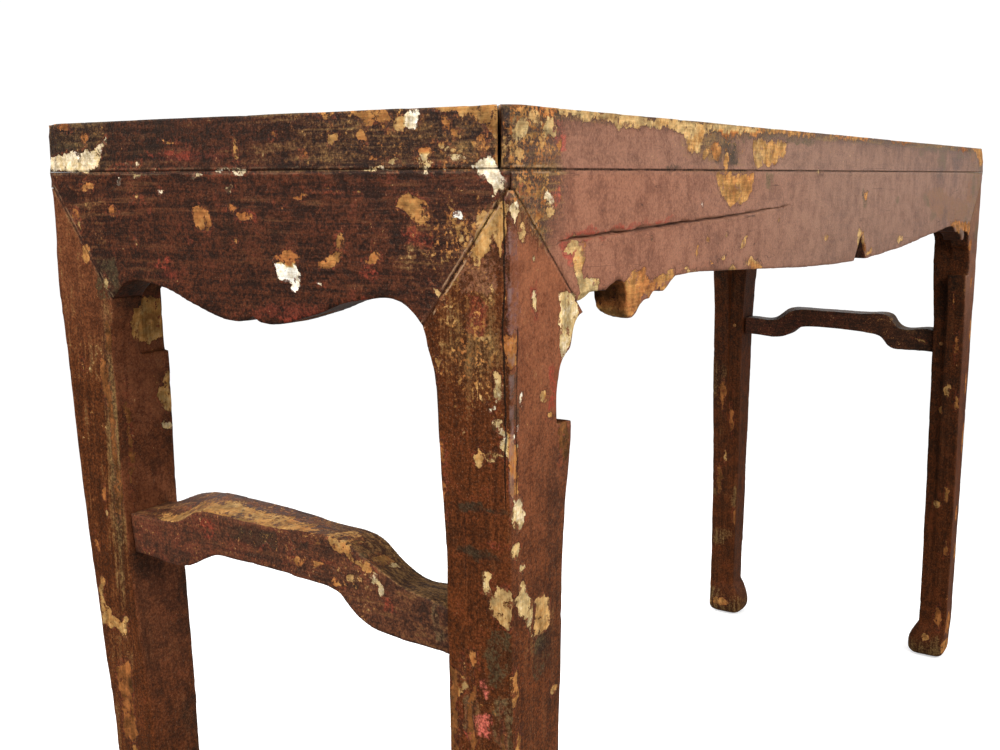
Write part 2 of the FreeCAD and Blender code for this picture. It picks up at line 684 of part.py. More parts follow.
# Stretchers: an end is the height of the stretcher's underside where it meets a leg
def stretcher_joint(end, lean, clearance):
    """Tenon of a stretcher in the front left leg, and the pin through it."""
    middle_height = end + stretcher_height / 2
    face = leg_face(middle_height, lean)
    middle_x = stretcher_recess + stretcher_thickness / 2
    end_gap = end_clearance if clearance else 0
    half_thick = stretcher_tenon_thickness / 2
    half_high = stretcher_tenon_height / 2
    tenon = corner_box(grown(middle_x - half_thick, middle_x + half_thick, clearance),
                       (face - stretcher_tenon_length - end_gap, face + end_overrun),
                       grown(middle_height - half_high, middle_height + half_high, clearance))
    low = stretcher_pin_wall - end_gap
    high = body_face(middle_height) + (end_overrun if clearance else -fit)
    pin_start = point(corner_x(low), corner_y(face - stretcher_pin_inset), middle_height)
    pin = Part.makeCylinder(stretcher_pin_diameter / 2 + clearance, high - low, pin_start, point(1, 0, 0))
    return [tenon, pin]


def leg_face(height, lean):
    """Inset of a leg's inner face, towards the other leg of its short end, at a height."""
    edge = shank(shank_top_height, leg_width, short_foot_width, short_taper_shares)
    return read_shares(height, [(up, along) for along, up in edge]) + lean_at(height, lean)


def body_face(height):
    """Inset of the inner face of a leg's body, towards the other end of the table, at a height."""
    edge = shank(shank_top_height, leg_width, long_foot_width, body_taper_shares)
    return read_shares(height, [(up, along) for along, up in edge])


def stretcher_outline(start, span, heights, rise, tables, inset):
    """Wire around a stretcher in the upright plane at an inset from the outer face."""
    front_height, back_height = heights

    def spots(shares, lift):
        return [(start + span * along, front_height + (back_height - front_height) * along + lift + rise * up)
                for along, up in shares]

    top = spots(tables[0], stretcher_height)
    foot = spots(tables[1], 0)
    far_along = top[-1][0] + end_overrun
    near_along = top[0][0] - end_overrun
    outline = [("curve", foot), ("line", [foot[-1], (far_along, foot[-1][1]), (far_along, top[-1][1]), top[-1]]),
               ("curve", top[::-1]),
               ("line", [top[0], (near_along, top[0][1]), (near_along, foot[0][1]), foot[0]])]
    return Part.Wire(edges_along(outline, lambda along, up: point(corner_x(inset), corner_y(along), up)))


def stretcher(heights, rise, outer_tables, inner_tables, lean):
    """Left humpback stretcher, with a tenon at each end and its shoulders cut to the legs."""
    start = leg_face(heights[0], 0)
    span = table_depth - start - leg_face(heights[1], lean)
    wires = [stretcher_outline(start, span, heights, rise, outer_tables, stretcher_recess),
             stretcher_outline(start, span, heights, rise, inner_tables, stretcher_recess + stretcher_thickness)]
    bar = Part.makeLoft(wires, True, True).cut([plain_leg(0), to_back(plain_leg(lean))])
    joints = [stretcher_joint(heights[0], 0, 0)[0], to_back(stretcher_joint(heights[1], lean, 0)[0])]
    pins = [stretcher_joint(heights[0], 0, fit)[1], to_back(stretcher_joint(heights[1], lean, fit)[1])]
    return fused([bar] + joints).cut(pins)


# All pieces by name
def end_of(right, back):
    """Height of the stretcher's underside at a leg, and that leg's lean."""
    lean = back_left_lean if back and not right else 0
    return (right_heights if right else left_heights)[back], lean


def leg_name(right, back):
    return "leg_" + ("back" if back else "front") + ("_right" if right else "_left")


def pieces():
    """Every piece of the table at its place, by node name."""
    named = {
        "top_rail_front": long_rail(),
        "top_rail_back": to_back(long_rail()),
        "top_rail_left": short_rail(open_mitre_gap),
        "top_rail_right": to_right(short_rail(0)),
        "panel_board_front": panel_board(False),
        "panel_board_back": panel_board(True),
        "apron_front": long_apron(front_lobe_to_left_leg, front_lobe_to_right_leg, front_notch_offset),
        "apron_back": to_back(long_apron(0, 0, 0)),
        "apron_left": short_apron(),
        "apron_right": to_right(short_apron()),
        "stretcher_left": stretcher(left_heights, left_rise, (left_outer_top_shares, left_outer_foot_shares),
                                    (left_inner_top_shares, left_inner_foot_shares), back_left_lean),
        "stretcher_right": to_right(stretcher(right_heights, right_rise, (right_outer_top_shares, right_foot_shares),
                                              (right_inner_top_shares, right_foot_shares), 0)),
    }
    for name, x_middle in zip(("batten_left", "batten_middle", "batten_right"), batten_places()):
        named[name] = batten(x_middle)
    stretcher_pins = []
    for right, back in corners:
        end, lean = end_of(right, back)
        named[leg_name(right, back)] = at_corner(leg(end, lean), right, back)
        stretcher_pins.append(at_corner(stretcher_joint(end, lean, 0)[1], right, back))
    named["apron_keys"] = Part.makeCompound(keys(0))
    named["corner_pins"] = Part.makeCompound([at_corner(corner_pin(0), right, back) for right, back in corners])
    named["stretcher_pins"] = Part.makeCompound(stretcher_pins)
    return named


os.makedirs("parts", exist_ok=True)
for name, shape in pieces().items():
    shape.exportStep("parts/" + name + ".step")
    print(name, len(shape.Solids), round(shape.Volume), shape.isValid())
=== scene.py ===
import bpy
import numpy as np
from mathutils import Matrix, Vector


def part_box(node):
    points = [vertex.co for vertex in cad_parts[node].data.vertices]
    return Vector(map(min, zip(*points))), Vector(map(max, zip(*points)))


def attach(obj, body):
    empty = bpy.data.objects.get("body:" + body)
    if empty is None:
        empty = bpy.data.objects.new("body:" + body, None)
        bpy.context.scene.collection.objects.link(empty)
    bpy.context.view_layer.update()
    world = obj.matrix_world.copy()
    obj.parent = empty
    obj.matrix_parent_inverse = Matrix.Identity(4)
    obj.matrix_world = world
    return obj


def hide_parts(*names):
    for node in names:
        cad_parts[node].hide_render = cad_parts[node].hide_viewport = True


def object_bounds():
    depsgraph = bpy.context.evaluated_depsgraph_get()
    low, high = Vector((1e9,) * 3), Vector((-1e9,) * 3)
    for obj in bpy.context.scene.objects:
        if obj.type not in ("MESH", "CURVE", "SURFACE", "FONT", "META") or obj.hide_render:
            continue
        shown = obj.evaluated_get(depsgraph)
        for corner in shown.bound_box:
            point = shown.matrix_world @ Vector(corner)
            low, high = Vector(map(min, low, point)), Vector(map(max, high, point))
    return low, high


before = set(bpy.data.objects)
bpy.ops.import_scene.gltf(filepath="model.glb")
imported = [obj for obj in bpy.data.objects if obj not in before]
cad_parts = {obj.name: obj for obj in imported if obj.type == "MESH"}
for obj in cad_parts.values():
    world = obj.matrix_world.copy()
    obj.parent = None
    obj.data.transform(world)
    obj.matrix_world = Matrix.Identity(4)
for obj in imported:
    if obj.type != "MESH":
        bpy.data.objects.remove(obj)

cad_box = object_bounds()
high_corner = np.array(cad_box[1], float)
half_length, half_depth, table_height = high_corner
mm = 0.001
long_side = 2 * half_length / mm
short_side = 2 * half_depth / mm

# Sizes of the table in millimetres. A mitre of an apron with a leg runs from its head, near the leg's outer arris
# and under the top rails, down to its tip. Both are given as the distance from the corner and the height.
joint_height = 813.0
leg_size = 56.0
mitre_head = (3.4, 801.0)
short_mitre_tip = (65.0, 718.0)
long_mitre_tip = (87.5, 721.5)


# Wood surfaces: each timber is its CAD solid, worn down

def lattice_noise(points, scale, seed):
    """Smooth noise from 0 to 1: random values at the corners of a cubic lattice with `scale` cells to the metre,
    blended inside each cell by the smooth step of the three distances."""
    spot = points * scale + 1000.0
    cell = np.floor(spot).astype(np.int64)
    part = spot - cell
    part = part * part * (3.0 - 2.0 * part)
    value = np.zeros(len(points))
    for corner in range(8):
        step = np.array([corner & 1, corner >> 1 & 1, corner >> 2 & 1])
        key = ((cell + step) * np.array([73856093, 19349663, 83492791])).sum(1) + seed * 971
        key = (key ^ key >> 13) * 1274126177 & 0xFFFFFFFF
        key = (key ^ key >> 16) & 0xFFFFFF
        weight = np.where(step == 1, part, 1.0 - part).prod(1)
        value += weight * key / 0xFFFFFF
    return value


def layered_noise(points, scale, seed, layers=3):
    """Sum of lattice noises, each twice as fine and half as strong as the one before, from 0 to 1."""
    total = sum(lattice_noise(points, scale * 2 ** layer, seed + layer) * 0.5 ** layer for layer in range(layers))
    return total / (2.0 - 0.5 ** (layers - 1))


def smooth_step(value, low, high):
    """0 below low, 1 above high and the smooth cubic between them."""
    share = np.clip((value - low) / (high - low), 0.0, 1.0)
    return share * share * (3.0 - 2.0 * share)


def closeness(distance, width):
    """Bell curve: 1 at no distance, about a third at the width."""
    return np.exp(-(distance / width) ** 2)


def mesh_points(mesh):
    points = np.empty(len(mesh.vertices) * 3)
    mesh.vertices.foreach_get("co", points)
    return points.reshape(-1, 3)


def mesh_normals(mesh):
    normals = np.empty(len(mesh.vertices) * 3)
    mesh.vertex_normals.foreach_get("vector", normals)
    return normals.reshape(-1, 3)


def edge_links(mesh):
    links = np.empty(len(mesh.edges) * 2, np.int64)
    mesh.edges.foreach_get("vertices", links)
    return links.reshape(-1, 2).T


def in_millimetres(points):
    """Distance from the left end, distance from the front and height, in millimetres."""
    return (points[:, 0] + half_length) / mm, (points[:, 1] + half_depth) / mm, points[:, 2] / mm


def add_layer(mesh, name, values):
    """Stores one value for each point of the mesh, for the finishes to read."""
    layer = mesh.attributes.new(name, "FLOAT", "POINT")
    layer.data.foreach_set("value", values.astype(np.float32))


def new_object(name, mesh):
    thing = bpy.data.objects.new(name, mesh)
    bpy.context.scene.collection.objects.link(thing)
    return thing


def with_modifiers(piece, name):
    """Replaces the piece's mesh by the one that its modifiers make, and takes the modifiers off."""
    bpy.context.view_layer.update()
    shaped = bpy.data.meshes.new_from_object(piece.evaluated_get(bpy.context.evaluated_depsgraph_get()))
    old = piece.data
    piece.modifiers.clear()
    piece.data = shaped
    bpy.data.meshes.remove(old)
    shaped.name = name


def relaxed(points, links, rounds):
    """Points after each has moved to the mean of its neighbours, again and again."""
    one, other = links
    count = len(points)
    friends = np.bincount(one, minlength=count) + np.bincount(other, minlength=count)
    friends = np.maximum(friends, 1)[:, None]
    for _ in range(rounds):
        total = np.empty_like(points)
        for axis in range(3):
            total[:, axis] = (np.bincount(one, points[other, axis], count)
                              + np.bincount(other, points[one, axis], count))
        points = total / friends
    return points


def even_skin(node, grain_size):
    """Copy of a CAD solid with its loose triangles merged and its skin laid again in even small quads of the
    given size, which keep the solid's sharp arrises."""
    piece = new_object(node.name + "_worn", node.data.copy())
    span = np.ptp(mesh_points(piece.data), axis=0).max()
    halvings = int(np.ceil(np.log2(span / (0.98 * grain_size * mm))))
    weld = piece.modifiers.new("weld", "WELD")
    weld.merge_threshold = 0.01 * mm
    skin = piece.modifiers.new("skin", "REMESH")
    skin.mode = "SHARP"
    skin.octree_depth = halvings
    skin.scale = span / (grain_size * mm * 2 ** halvings)
    skin.use_remove_disconnected = False
    with_modifiers(piece, piece.name)
    return piece


def mitre_distance(along, height, length, tip):
    """Distance in millimetres from the nearer of the two mitres of an apron with the legs at its ends."""
    inset = np.minimum(along, length - along)
    start = np.array(mitre_head)
    run = np.array(tip) - start
    size = np.hypot(*run)
    share = np.clip(((inset - start[0]) * run[0] + (height - start[1]) * run[1]) / size ** 2, 0.0, 1.0)
    return np.hypot(inset - start[0] - share * run[0], height - start[1] - share * run[1])


def joint_closeness(points):
    """From 0 to 1: how near a point lies to a tight joint, whose arrises stay crisp."""
    along_x, along_y, height = in_millimetres(points)
    near = closeness(height - joint_height, 5.0)
    short = closeness(mitre_distance(along_y, height, short_side, short_mitre_tip), 5.0)
    long = closeness(mitre_distance(along_x, height, long_side, long_mitre_tip), 5.0)
    on_short = smooth_step(np.abs(points[:, 0]) / mm, 660.0, 675.0)
    on_long = smooth_step(np.abs(points[:, 1]) / mm, 170.0, 183.0)
    diagonal = 0.8 * closeness(along_y - 7.0, 5.0) * (along_x < 12.0) * (height > joint_height)
    return np.clip(np.maximum(np.maximum(near, diagonal), np.maximum(short * on_short, long * on_long)), 0.0, 1.0)


def strong_rounding(points, node):
    """From 0 to 1: how strongly the four top corners, the feet of the legs and the broken lobe of the front
    apron are rounded off. The right end is the most worn."""
    amount = np.zeros(len(points))
    for side_x, side_y, weight, reach in ((-1, -1, 0.35, 12), (-1, 1, 0.12, 10), (1, -1, 0.9, 22), (1, 1, 0.7, 18)):
        corner = high_corner * (side_x, side_y, 1)
        away = np.linalg.norm(points - corner, axis=1) / mm
        amount = np.maximum(amount, weight * (1.0 - smooth_step(away, 4.0, reach)))
    along_x, _, height = in_millimetres(points)
    if node.startswith("leg"):
        amount = np.maximum(amount, 0.85 * (1.0 - smooth_step(height, 26.0, 60.0)))
    if node == "apron_front":
        knob = np.hypot(along_x - 106.0, height - 714.0)
        amount = np.maximum(amount, 0.92 * (1.0 - smooth_step(knob, 16.0, 36.0)) * (height < 732.0))
    return amount


def rounded_lobe(points):
    """The broken lobe beside the near leg is a knob: its lower back arris lies on a quarter circle of 20 mm
    about a line along the apron. Points below and behind that line, and farther from it, move towards it."""
    along_x, along_y, height = in_millimetres(points)
    behind = along_y - 8.0
    below = 730.0 - height
    pull = np.minimum(20.0 / np.maximum(np.hypot(behind, below), 1.0), 1.0) - 1.0
    pull *= (behind > 0) * (below > 0) * smooth_step(along_x, 88.0, 92.0) * (1.0 - smooth_step(along_x, 160.0, 190.0))
    points = points.copy()
    points[:, 1] += behind * pull * mm
    points[:, 2] -= below * pull * mm
    return points


def wear_down(piece, node, seed, rounds, hollow):
    """Timber worn by age: every point moves part of the way to its relaxed place, which rounds the arrises by
    a share that noise sets, but hardly at the joints. Then it sinks along its normal by a slow and a quick
    noise. The result is clipped to the box of the CAD solid. The attribute arris, 1 on a sharp arris and 0 on
    the flat, comes from the distance to the relaxed place."""
    mesh = piece.data
    points = mesh_points(mesh)
    normals = mesh_normals(mesh)
    links = edge_links(mesh)
    soft = relaxed(points, links, rounds)
    proud = ((points - soft) * normals).sum(1)
    proud = proud / np.quantile(proud, 0.995)
    held = joint_closeness(points)
    arris = relaxed(np.stack([proud * (1.0 - 0.75 * held)] * 3, 1), links, 2)[:, 0]
    add_layer(mesh, "arris", np.clip(arris, 0.0, 1.5))
    patchy = smooth_step(layered_noise(points, 26.0, seed), 0.35, 0.7)
    nicked = smooth_step(layered_noise(points, 90.0, seed + 40, 2), 0.62, 0.85)
    share = (0.30 + 0.45 * patchy) * (1.0 - 0.92 * held)
    share *= 1.0 - 0.55 * smooth_step(points[:, 2] / mm, 832.0, 846.0) * (points[:, 0] < 0.4)
    worn = points + (soft - points) * share[:, None]
    rounding = strong_rounding(points, node)
    if rounding.max() > 0.05:
        worn += (relaxed(soft, links, 80 if node == "apron_front" else 20) - worn) * rounding[:, None]
    sunk = layered_noise(points, 6.0, seed + 7) * hollow + layered_noise(points, 70.0, seed + 11, 2) * 0.22
    sunk = sunk * (1.0 - 0.8 * held) + nicked * np.clip(arris, 0.0, 1.0) * (1.0 - held) * 1.3
    worn -= normals * (sunk * mm)[:, None]
    if node == "apron_front":
        worn = rounded_lobe(worn)
    mesh.vertices.foreach_set("co", np.clip(worn, *(np.array(corner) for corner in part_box(node))).ravel())
    mesh.update()


def crack_blade(name, spots, width, depth, face, seed):
    """Closed wedge along a crack: the path runs through the spots with a small noise across it, the wedge's
    width swells and falls to nothing at both ends, and its edge lies at the depth under the face."""
    steps = 150
    spots = np.array(spots, float)
    along = np.linspace(0.0, 1.0, steps)
    reach = np.linspace(0.0, 1.0, len(spots))
    path = np.stack([np.interp(along, reach, spots[:, 0]), np.interp(along, reach, spots[:, 1])], 1)
    key = np.stack([path[:, 0] * mm, path[:, 1] * mm, np.full(steps, seed * 0.1)], 1)
    wander = (layered_noise(key, 38.0, seed, 2) - 0.5) * 2.6 + (layered_noise(key, 420.0, seed + 5, 2) - 0.5) * 1.3
    swell = (along * (1.0 - along) ** 2 * 6.75) ** 0.4 * (0.25 + 1.5 * layered_noise(key, 70.0, seed + 3))
    half = np.maximum(width * 0.5 * swell, 0.05)
    rows = []
    for lift, sunk in ((half, -1.5), (-half, -1.5), (0.0, depth)):
        upright = (path[:, 1] + wander + lift) * mm
        if face == "front":
            rows.append(np.stack([path[:, 0] * mm - half_length, np.full(steps, sunk * mm - half_depth), upright], 1))
        else:
            rows.append(np.stack([np.full(steps, sunk * mm - half_length), path[:, 0] * mm - half_depth, upright], 1))
    points = np.stack(rows, 1).reshape(-1, 3)
    first = np.arange(steps - 1) * 3
    faces = []
    for side in range(3):
        other = (side + 1) % 3
        faces += np.stack([first + side, first + other, first + other + 3, first + side + 3], 1).tolist()
    last = (steps - 1) * 3
    faces += [[2, 1, 0], [last, last + 1, last + 2]]
    mesh = bpy.data.meshes.new(name)
    mesh.from_pydata(points.tolist(), [], faces)
    return new_object(name, mesh)


def cut_cracks(piece, blades):
    """Takes each wedge out of the timber."""
    for blade in blades:
        cut = piece.modifiers.new("crack", "BOOLEAN")
        cut.operation = "DIFFERENCE"
        cut.solver = "EXACT"
        cut.object = blade
    with_modifiers(piece, piece.name)
    for blade in blades:
        bpy.data.objects.remove(blade)


# Places of the wear, in millimetres on a face. A spot is an ellipse: along from the near corner, height, half
# width, half height, tone and, where it is tilted, degrees. An outline is its tone, then along and height of each
# corner. The tone of bare wood runs from 0, dark, over 0.5, ochre, and 0.85, cream, to 1, white.

bare_left = [
    (12, 838, 4, 9, 0.55), (20, 829, 3, 5, 0.48, 20), (70, 842, 6, 5, 0.93), (80, 840, 5, 5, 0.6),
    (38, 834, 4, 3, 0.5), (46, 840, 5, 3, 0.5, 20), (110, 832, 5, 4, 0.5, 20), (135, 834, 5, 4, 0.6, -30),
    (143, 848, 11, 3, 0.55), (60, 817, 9, 1.5, 0.82, 6), (37, 819, 7, 1.8, 0.78, -8), (86, 818, 5, 1.4, 0.7),
    (49, 825, 4, 1.4, 0.74), (100, 822, 3, 2, 0.5), (62, 822, 6, 3, 0.45, 10), (92, 836, 3, 2, 0.5),
    (52, 829, 4, 2, 0.55), (160, 826, 4, 3, 0.35), (186, 836, 3, 3, 0.3), (220, 825, 2, 6, 0.55),
    (285, 834, 8, 1.5, 0.5), (335, 818, 12, 1.2, 0.85, -12), (380, 838, 5, 4, 0.45), (404, 845, 6, 3, 0.4),
    (51, 812.4, 14, 0.9, 0.9), (99, 812.4, 20, 0.8, 0.85), (222, 812.6, 14, 1.7, 0.86), (240, 811.5, 5, 2, 0.86),
    (258, 811.5, 5, 1.6, 0.86), (310, 812.5, 10, 0.7, 0.8), (340, 813, 14, 1.0, 0.7), (37, 785, 5, 2.6, 1.0),
    (105, 757, 6, 3, 0.45, -15), (137, 799, 5, 1.6, 0.45), (162, 797, 5, 1.6, 0.45), (178, 788, 2, 2, 0.4),
    (216, 781, 8, 4, 0.42), (228, 786, 4.5, 2.8, 0.45), (227, 801, 3, 1.6, 0.85), (150, 739, 2.6, 1.6, 0.95),
    (176, 756, 11.5, 4, 0.42, -4), (325, 794, 4.5, 2.6, 0.6), (313, 786, 2, 2, 0.45), (353, 783, 6.5, 3.4, 0.4),
    (396, 783, 6, 5, 0.35), (344, 806, 1.6, 1.6, 0.95), (297, 797, 1.6, 1.6, 0.9), (327, 762, 1.6, 4, 0.65),
    (380, 802, 6, 3, 0.45), (366, 731, 3, 5, 0.75, 20), (386, 750, 5, 6, 0.5), (392, 771, 3, 5, 0.55),
    (226, 766, 2, 2, 0.5), (118, 800, 2, 1.5, 0.6), (190, 793, 1.5, 1.5, 0.5), (270, 764, 2, 1.2, 0.5),
    (54, 739, 2, 6, 0.75, -38), (54, 696, 2, 3, 0.55), (14, 671, 1.6, 1.6, 0.9), (22, 560, 1.4, 2, 0.8),
    (25, 675, 2, 1, 0.6), (54, 688, 1.6, 4, 0.6), (51, 640, 2.6, 6, 0.35), (50, 615, 3, 9, 0.38),
    (49, 600, 2.6, 5, 0.45), (14, 584, 3, 1.4, 0.6), (29, 508, 4, 5, 0.45), (38, 488, 1.2, 12, 0.62),
    (12, 430, 6, 16, 0.62), (34, 404, 4, 11, 0.45), (5, 372, 5, 14, 0.55), (27, 350, 5, 5, 0.7),
    (40, 312, 3, 18, 0.4), (9, 290, 7, 11, 0.66), (24, 238, 4, 13, 0.5), (4, 205, 4, 22, 0.5), (38, 170, 5, 10, 0.4),
    (14, 132, 8, 9, 0.6), (30, 92, 5, 12, 0.5), (12, 30, 14, 13, 0.4), (45, 24, 13, 12, 0.42),
    (372, 402, 7, 16, 0.24), (382, 545, 2.6, 2.6, 0.7), (385, 561, 4, 6, 0.45), (401, 665, 2, 5, 0.5),
    (367, 560, 4, 14, 0.25), (368, 690, 4, 12, 0.25), (398, 520, 2, 7, 0.4), (366, 340, 5, 15, 0.5),
    (352, 288, 4, 18, 0.4), (358, 214, 6, 10, 0.55), (340, 160, 4, 14, 0.4), (350, 90, 6, 9, 0.5),
    (345, 26, 14, 12, 0.4)]
bare_front = [
    (10, 836, 10, 6, 0.66), (45, 838, 10, 5, 0.68), (26, 843, 8, 3, 0.6), (20, 802, 5, 3, 0.44, 20),
    (43, 797, 5, 3, 0.8), (45, 788, 5, 3, 0.62), (5, 788, 4, 7, 0.8), (56, 827, 4, 5, 0.42), (34, 829, 5, 3, 0.5),
    (8, 822, 6, 3, 0.55), (14, 776, 5, 5, 0.62), (30, 786, 5, 4, 0.4, -30), (480, 848, 70, 3.2, 0.5),
    (700, 849, 60, 2.4, 0.45), (285, 826, 7, 5, 0.5), (304, 826, 12, 7, 0.42), (327, 822, 6, 9, 0.52),
    (436, 820, 10, 3, 0.5), (330, 843, 30, 4, 0.25), (388, 846, 20, 3, 0.4), (73, 764, 8, 6, 0.6),
    (82, 756, 8, 9, 0.56, 20), (88, 765, 3, 3, 0.4), (187, 730, 11, 8, 0.42, -10), (205, 733, 12, 6, 0.48),
    (222, 735, 12, 5, 0.5, 15), (214, 727, 10, 4, 0.5), (251, 737, 14, 1.8, 0.6), (280, 785, 1.5, 1.2, 0.9),
    (188, 766, 3, 1.4, 0.7), (330, 762, 3, 2, 0.6), (370, 752, 9, 4, 0.55, 25), (292, 759, 3, 3, 0.5),
    (272, 752, 2, 5, 0.5), (392, 735, 15, 4, 0.6), (300, 738, 9, 2, 0.55), (345, 731, 9, 2, 0.55),
    (325, 742, 6, 2, 0.6), (565, 812, 9, 2.6, 0.75), (602, 745, 7, 4, 0.55), (455, 768, 4, 2, 0.6),
    (740, 787, 9, 4.5, 0.45), (722, 741, 9, 9, 0.6), (765, 722, 14, 4, 0.55), (742, 728, 8, 5, 0.25),
    (905, 730, 15, 5, 0.62), (1250, 846, 40, 3, 0.35), (900, 848, 60, 1.8, 0.4), (640, 848, 50, 1.8, 0.45),
    (28, 734, 2.4, 6, 0.76), (28, 762, 3, 3, 0.7), (14, 677, 1.8, 4, 0.88), (6, 655, 2, 4, 0.88),
    (6, 581, 4, 5, 0.66), (15, 568, 2.4, 3, 0.72), (42, 674, 3, 4, 0.5), (5, 494, 4, 12, 0.48), (53, 471, 4, 3, 0.55),
    (40, 675, 3.6, 4, 0.58), (48, 660, 5, 2.6, 0.55), (64, 640, 8, 14, 0.16), (10, 450, 4, 12, 0.45),
    (30, 415, 5, 8, 0.55), (5, 388, 5, 18, 0.42), (44, 360, 4, 12, 0.4), (16, 330, 8, 8, 0.66), (3, 300, 4, 24, 0.45),
    (34, 262, 7, 9, 0.5), (14, 214, 6, 12, 0.6), (40, 176, 4, 10, 0.4), (6, 140, 6, 16, 0.5), (28, 100, 8, 9, 0.6),
    (10, 34, 14, 13, 0.42), (44, 22, 14, 12, 0.4), (1398, 560, 6, 22, 0.45), (1390, 470, 5, 18, 0.4),
    (1376, 640, 6, 8, 0.4), (1395, 380, 6, 28, 0.42), (1384, 250, 8, 16, 0.4), (1398, 180, 6, 20, 0.45),
    (1380, 60, 14, 20, 0.38), (1372, 20, 20, 14, 0.45), (1350, 700, 10, 10, 0.35)]
bare_stretcher = [
    (150, 564, 9, 2.6, 0.6, 10), (143, 559, 7, 3, 0.52, 20), (131, 556, 9, 3.4, 0.58, 20),
    (120, 550, 7, 3.6, 0.54, 35), (113, 541, 5, 3, 0.8, 40), (106, 535, 4.4, 2.6, 0.84, 40), (133, 541, 5, 3, 0.64),
    (182, 543, 5, 2.4, 0.48), (160, 545, 7, 2, 0.48), (145, 532, 4, 2.4, 0.5)]
inner_back_left = [
    (47, 611, 5, 3, 0.8, -30), (10, 600, 3, 40, 0.25), (55, 470, 3, 12, 0.45), (30, 420, 6, 14, 0.3)]
inner_far_legs = [
    (20, 468, 4, 12, 0.62), (30, 430, 5, 6, 0.55), (6, 448, 4, 14, 0.5), (27, 270, 7, 7, 0.62), (13, 289, 4, 14, 0.5),
    (8, 190, 4, 16, 0.45), (14, 75, 5, 20, 0.42), (30, 34, 7, 7, 0.55), (18, 612, 2, 9, 0.45), (10, 540, 3, 16, 0.4),
    (404, 417, 5, 30, 0.34), (391, 372, 4, 26, 0.36), (410, 256, 6, 30, 0.3), (378, 186, 6, 16, 0.3),
    (400, 300, 3, 10, 0.62), (398, 24, 14, 8, 0.5)]
flakes_left = [
    (0.86, 356, 839, 361, 824, 369, 813.5, 424, 813.5, 424, 826, 400, 828, 386, 827, 376, 831, 371, 827, 365, 833),
    (0.9, 28, 814, 22, 819, 14, 822, 9, 817, 7, 812, 1, 811, 3, 804, 11, 798, 13, 805, 24, 809), (0.62, 23, 787,
    13, 792, 4, 797, 3, 778, 6, 764, 10, 764, 11, 772, 15, 771, 22, 757, 29, 761, 30, 767, 25, 775), (0.5, 134, 772,
    129, 772, 127, 763, 131, 754, 138, 750, 149, 751, 149, 757, 139, 761, 135, 763), (0.57, 62, 851, 35, 851, 9, 851,
    9, 837, 19, 839, 33, 844, 47, 844), (0.5, 122, 851, 87, 851, 86, 842, 106, 839), (0.52, 60, 797, 64, 798, 79, 799,
    83, 794, 87, 792, 84, 787, 77, 785, 71, 779, 64, 780, 60, 785), (1.0, 163, 741, 168, 741, 166, 747, 172, 753,
    187, 751, 192, 750, 189, 745, 188, 741, 178, 739, 176, 734, 171, 733, 166, 738), (0.46, 247, 774, 250, 788,
    257, 790, 266, 786, 269, 781, 262, 776, 259, 771, 252, 771), (0.76, 15, 691, 12, 693, 7, 691, 6, 683, 8, 676,
    13, 675, 15, 681, 13, 686), (0.8, 14, 660, 11, 663, 5, 663, 3, 656, 2, 640, 5, 639, 6, 655, 12, 656), (0.64,
    28, 642, 24, 646, 20, 643, 21, 639, 24, 632, 28, 637), (0.66, 22, 645, 16, 643, 10, 645, 4, 645, 4, 643, 11, 642,
    16, 640, 22, 643), (0.74, 23, 562, 21, 566, 16, 566, 17, 559, 15, 555, 19, 553, 23, 556), (0.68, 16, 550, 13, 555,
    10, 560, 2, 562, 1, 548, 2, 533, 6, 534, 13, 537, 17, 541), (0.29, 50, 500, 42, 497, 40, 472, 42, 445, 40, 400,
    38, 340, 50, 330, 49, 473), (0.32, 30, 500, 33, 470, 31, 420, 34, 380, 29, 382, 27, 440, 28, 480), (0.25, 8, 480,
    12, 450, 10, 400, 14, 350, 8, 340, 5, 400, 4, 450), (0.44, 5, 717, -2, 717, -2, 697, 1, 696, 4, 698), (0.43,
    4, 660, -2, 660, -2, 619, 1, 622, 2, 636, 4, 644), (0.3, 378, 672, 371, 670, 365, 621, 363, 572, 369, 566,
    372, 620, 379, 657), (0.36, 382, 419, 367, 423, 364, 357, 380, 353), (0.6, 362, 467, 366, 450, 372, 441, 380, 447,
    392, 451, 400, 447, 400, 467, 396, 491, 391, 489, 392, 466, 385, 459, 375, 457, 371, 463)]
